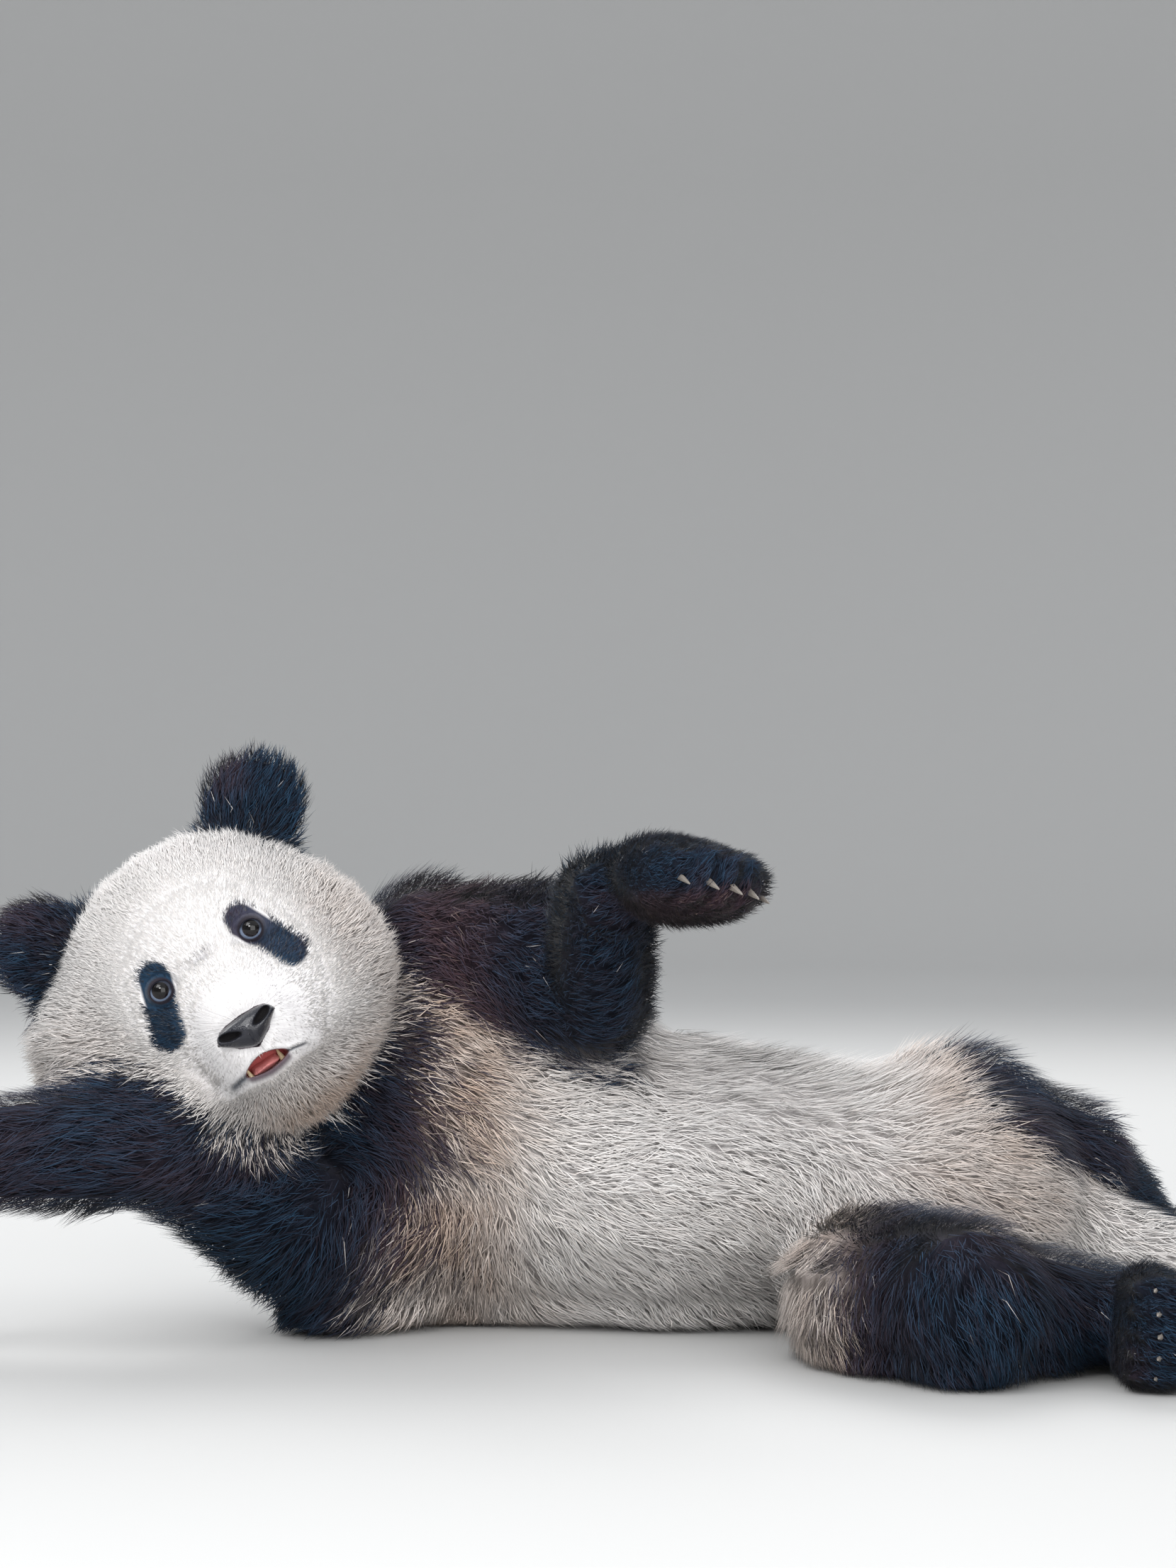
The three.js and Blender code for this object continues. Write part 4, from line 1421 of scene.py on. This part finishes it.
class PANDA_OT_mouth(bpy.types.Operator):
    """Models the tongue and the two lower eye teeth that the open mouth shows"""

    bl_idname = "panda.mouth"
    bl_label = "Mouth"

    def execute(self, context):
        face = settings("panda_face")
        grain = bpy.data.node_groups.get("grain") or grain_group()
        tongue = copy_node("tongue", "tongue_flesh")
        put_modifier(tongue, "REMESH", mode="VOXEL", voxel_size=0.0011)
        points = even(points_of(tongue), edges_of(tongue), 8)
        place = to_head(points) - to_head(middle("tongue"))
        groove = bell(place[:, 0], 0, 0.0022) * smooth(0, 0.003, place[:, 1])
        place[:, 1] -= 0.0013 * groove
        place[:, 0] *= 1.6
        place[:, 1] *= 1.1
        set_points(tongue, from_head(place + to_head(middle("tongue"))))
        set_shading(tongue, bare_material("tongue_skin", face.tongue, 0.4, grain, 900.0, 0.0003, 0.5))
        settle(tongue, ["tongue"])
        enamel = bare_material("enamel", face.tooth, 0.25, None, wet=0.4)
        for hand in ("left", "right"):
            tooth = copy_node(f"tooth_{hand}", f"eye_tooth_{hand}")
            put_modifier(tooth, "REMESH", mode="VOXEL", voxel_size=0.0006)
            set_points(tooth, even(points_of(tooth), edges_of(tooth), 5))
            set_shading(tooth, enamel)
            settle(tooth, [f"tooth_{hand}"])
        return {"FINISHED"}


# ---- Claws ----


class PANDA_OT_claws(bpy.types.Operator):
    """Models each paw's five curved claws, rooted under the coat"""

    bl_idname = "panda.claws"
    bl_label = "Claws"

    def execute(self, context):
        face = settings("panda_face")
        material = bare_material("horn", face.claw, 0.35, None, wet=0.2, vary=0.6)
        for paw, claws in PAW_CLAWS.items():
            pieces = []
            for name in claws:
                claw = copy_node(name, f"piece_{name}")
                put_modifier(claw, "SUBSURF", levels=2, render_levels=2)
                pieces.append(claw)
            make_active(*pieces)
            bpy.ops.object.join()
            joined = context.object
            joined.name = joined.data.name = f"claws_{paw}"
            set_shading(joined, material)
            settle(joined, claws)
        return {"FINISHED"}


# ---- Stage ----


# Each lamp with its place, its width and its share of the key lamp's power.
LAMPS = (
    ("key", (-1.6, -2.6, 3.2), 2.2, 1.0),
    ("fill", (1.1, -3.0, 0.8), 2.4, 0.68),
    ("rim", (0.6, 2.6, 2.6), 2.2, 0.75),
    ("glint", (-0.5, -2.6, 1.5), 0.55, 0.19),
    ("side", (-2.8, 1.7, 2.3), 2.2, 0.7),
)
CAMERA_PLACE = (0, -3.35, 0.486)


class PANDA_OT_stage(bpy.types.Operator):
    """Lays the floor, hangs the lamps and sets up the camera"""

    bl_idname = "panda.stage"
    bl_label = "Stage"

    def execute(self, context):
        stage = settings("panda_stage")
        floor = self.cove(9.0, 2.5, 5.5)
        material, _, _, shader = new_material("floor_paint")
        shader.inputs["Base Color"].default_value = opaque(stage.floor)
        shader.inputs["Roughness"].default_value = 0.8
        floor.data.materials.append(material)
        for name, place, size, share in LAMPS:
            self.lamp(name, place, size, stage.lamp * share)
        world = bpy.data.worlds.new("studio")
        world.use_nodes = True
        background = world.node_tree.nodes["Background"]
        background.inputs["Color"].default_value = (0.93, 0.95, 0.98, 1)
        background.inputs["Strength"].default_value = 0.98
        context.scene.world = world
        bpy.ops.object.camera_add(location=CAMERA_PLACE, rotation=(pi / 2, 0, 0))
        camera = context.object
        camera.name = "camera"
        camera.data.lens = stage.lens
        camera.data.sensor_width = 36
        camera.data.clip_start = 0.05
        context.scene.camera = camera
        context.scene.view_settings.view_transform = "Standard"
        return {"FINISHED"}

    def cove(self, radius, bend, height):
        """A round floor that curves up into a low wall all round."""
        sides = 96
        turns = np.linspace(0, pi / 2, 13)
        profile = [(0.0, 0.0), (3.0, 0.0), (radius - bend, 0.0)]
        profile += [(radius - bend + bend * sin(turn), bend - bend * cos(turn)) for turn in turns[1:]]
        profile.append((radius, height))
        shape = bmesh.new()
        rows = [[shape.verts.new((0, 0, 0))]]
        for far, high in profile[1:]:
            round_turns = np.arange(sides) * 2 * pi / sides
            rows.append([shape.verts.new((far * cos(a), far * sin(a), high)) for a in round_turns])
        for i in range(sides):
            j = (i + 1) % sides
            shape.faces.new((rows[0][0], rows[1][i], rows[1][j]))
            for low, high in zip(rows[1:], rows[2:]):
                shape.faces.new((low[i], high[i], high[j], low[j]))
        mesh = bpy.data.meshes.new("floor")
        shape.to_mesh(mesh)
        shape.free()
        for face in mesh.polygons:
            face.use_smooth = True
        floor = bpy.data.objects.new("floor", mesh)
        bpy.context.scene.collection.objects.link(floor)
        return floor

    def lamp(self, name, place, size, power):
        """A soft square lamp that faces the animal."""
        bpy.ops.object.light_add(type="AREA", location=place)
        lamp = bpy.context.object
        lamp.name = name
        lamp.data.shape = "SQUARE"
        lamp.data.size = size
        lamp.data.energy = power
        aim = Vector((0, 0, 0.2)) - Vector(place)
        lamp.rotation_euler = aim.to_track_quat("-Z", "Y").to_euler()


# ---- Sidebar ----


class PANDA_PT_parts(bpy.types.Panel):
    """Lists what dresses the panda"""

    bl_label = "Panda"
    bl_idname = "PANDA_PT_parts"
    bl_space_type = "VIEW_3D"
    bl_region_type = "UI"
    bl_category = "Panda"

    def draw(self, context):
        for group in ("panda_coat", "panda_face", "panda_stage"):
            box = self.layout.box()
            for name in getattr(context.scene, group).__annotations__:
                box.prop(getattr(context.scene, group), name)
        for operator in STEPS:
            self.layout.operator(operator.bl_idname)


GROUPS = {
    "panda_coat": PandaCoatSettings,
    "panda_face": PandaFaceSettings,
    "panda_stage": PandaStageSettings,
}
STEPS = (
    PANDA_OT_skin,
    PANDA_OT_coat,
    PANDA_OT_eyes,
    PANDA_OT_nose,
    PANDA_OT_mouth,
    PANDA_OT_claws,
    PANDA_OT_stage,
)


def register():
    for kind in (*GROUPS.values(), *STEPS, PANDA_PT_parts):
        bpy.utils.register_class(kind)
    for name, group in GROUPS.items():
        setattr(bpy.types.Scene, name, PointerProperty(type=group))


def unregister():
    for name in GROUPS:
        delattr(bpy.types.Scene, name)
    for kind in reversed((*GROUPS.values(), *STEPS, PANDA_PT_parts)):
        bpy.utils.unregister_class(kind)


def main():
    register()
    bpy.ops.panda.skin()
    bpy.ops.panda.coat()
    bpy.ops.panda.eyes()
    bpy.ops.panda.nose()
    bpy.ops.panda.mouth()
    bpy.ops.panda.claws()
    bpy.ops.panda.stage()


if __name__ == "__main__":
    main()
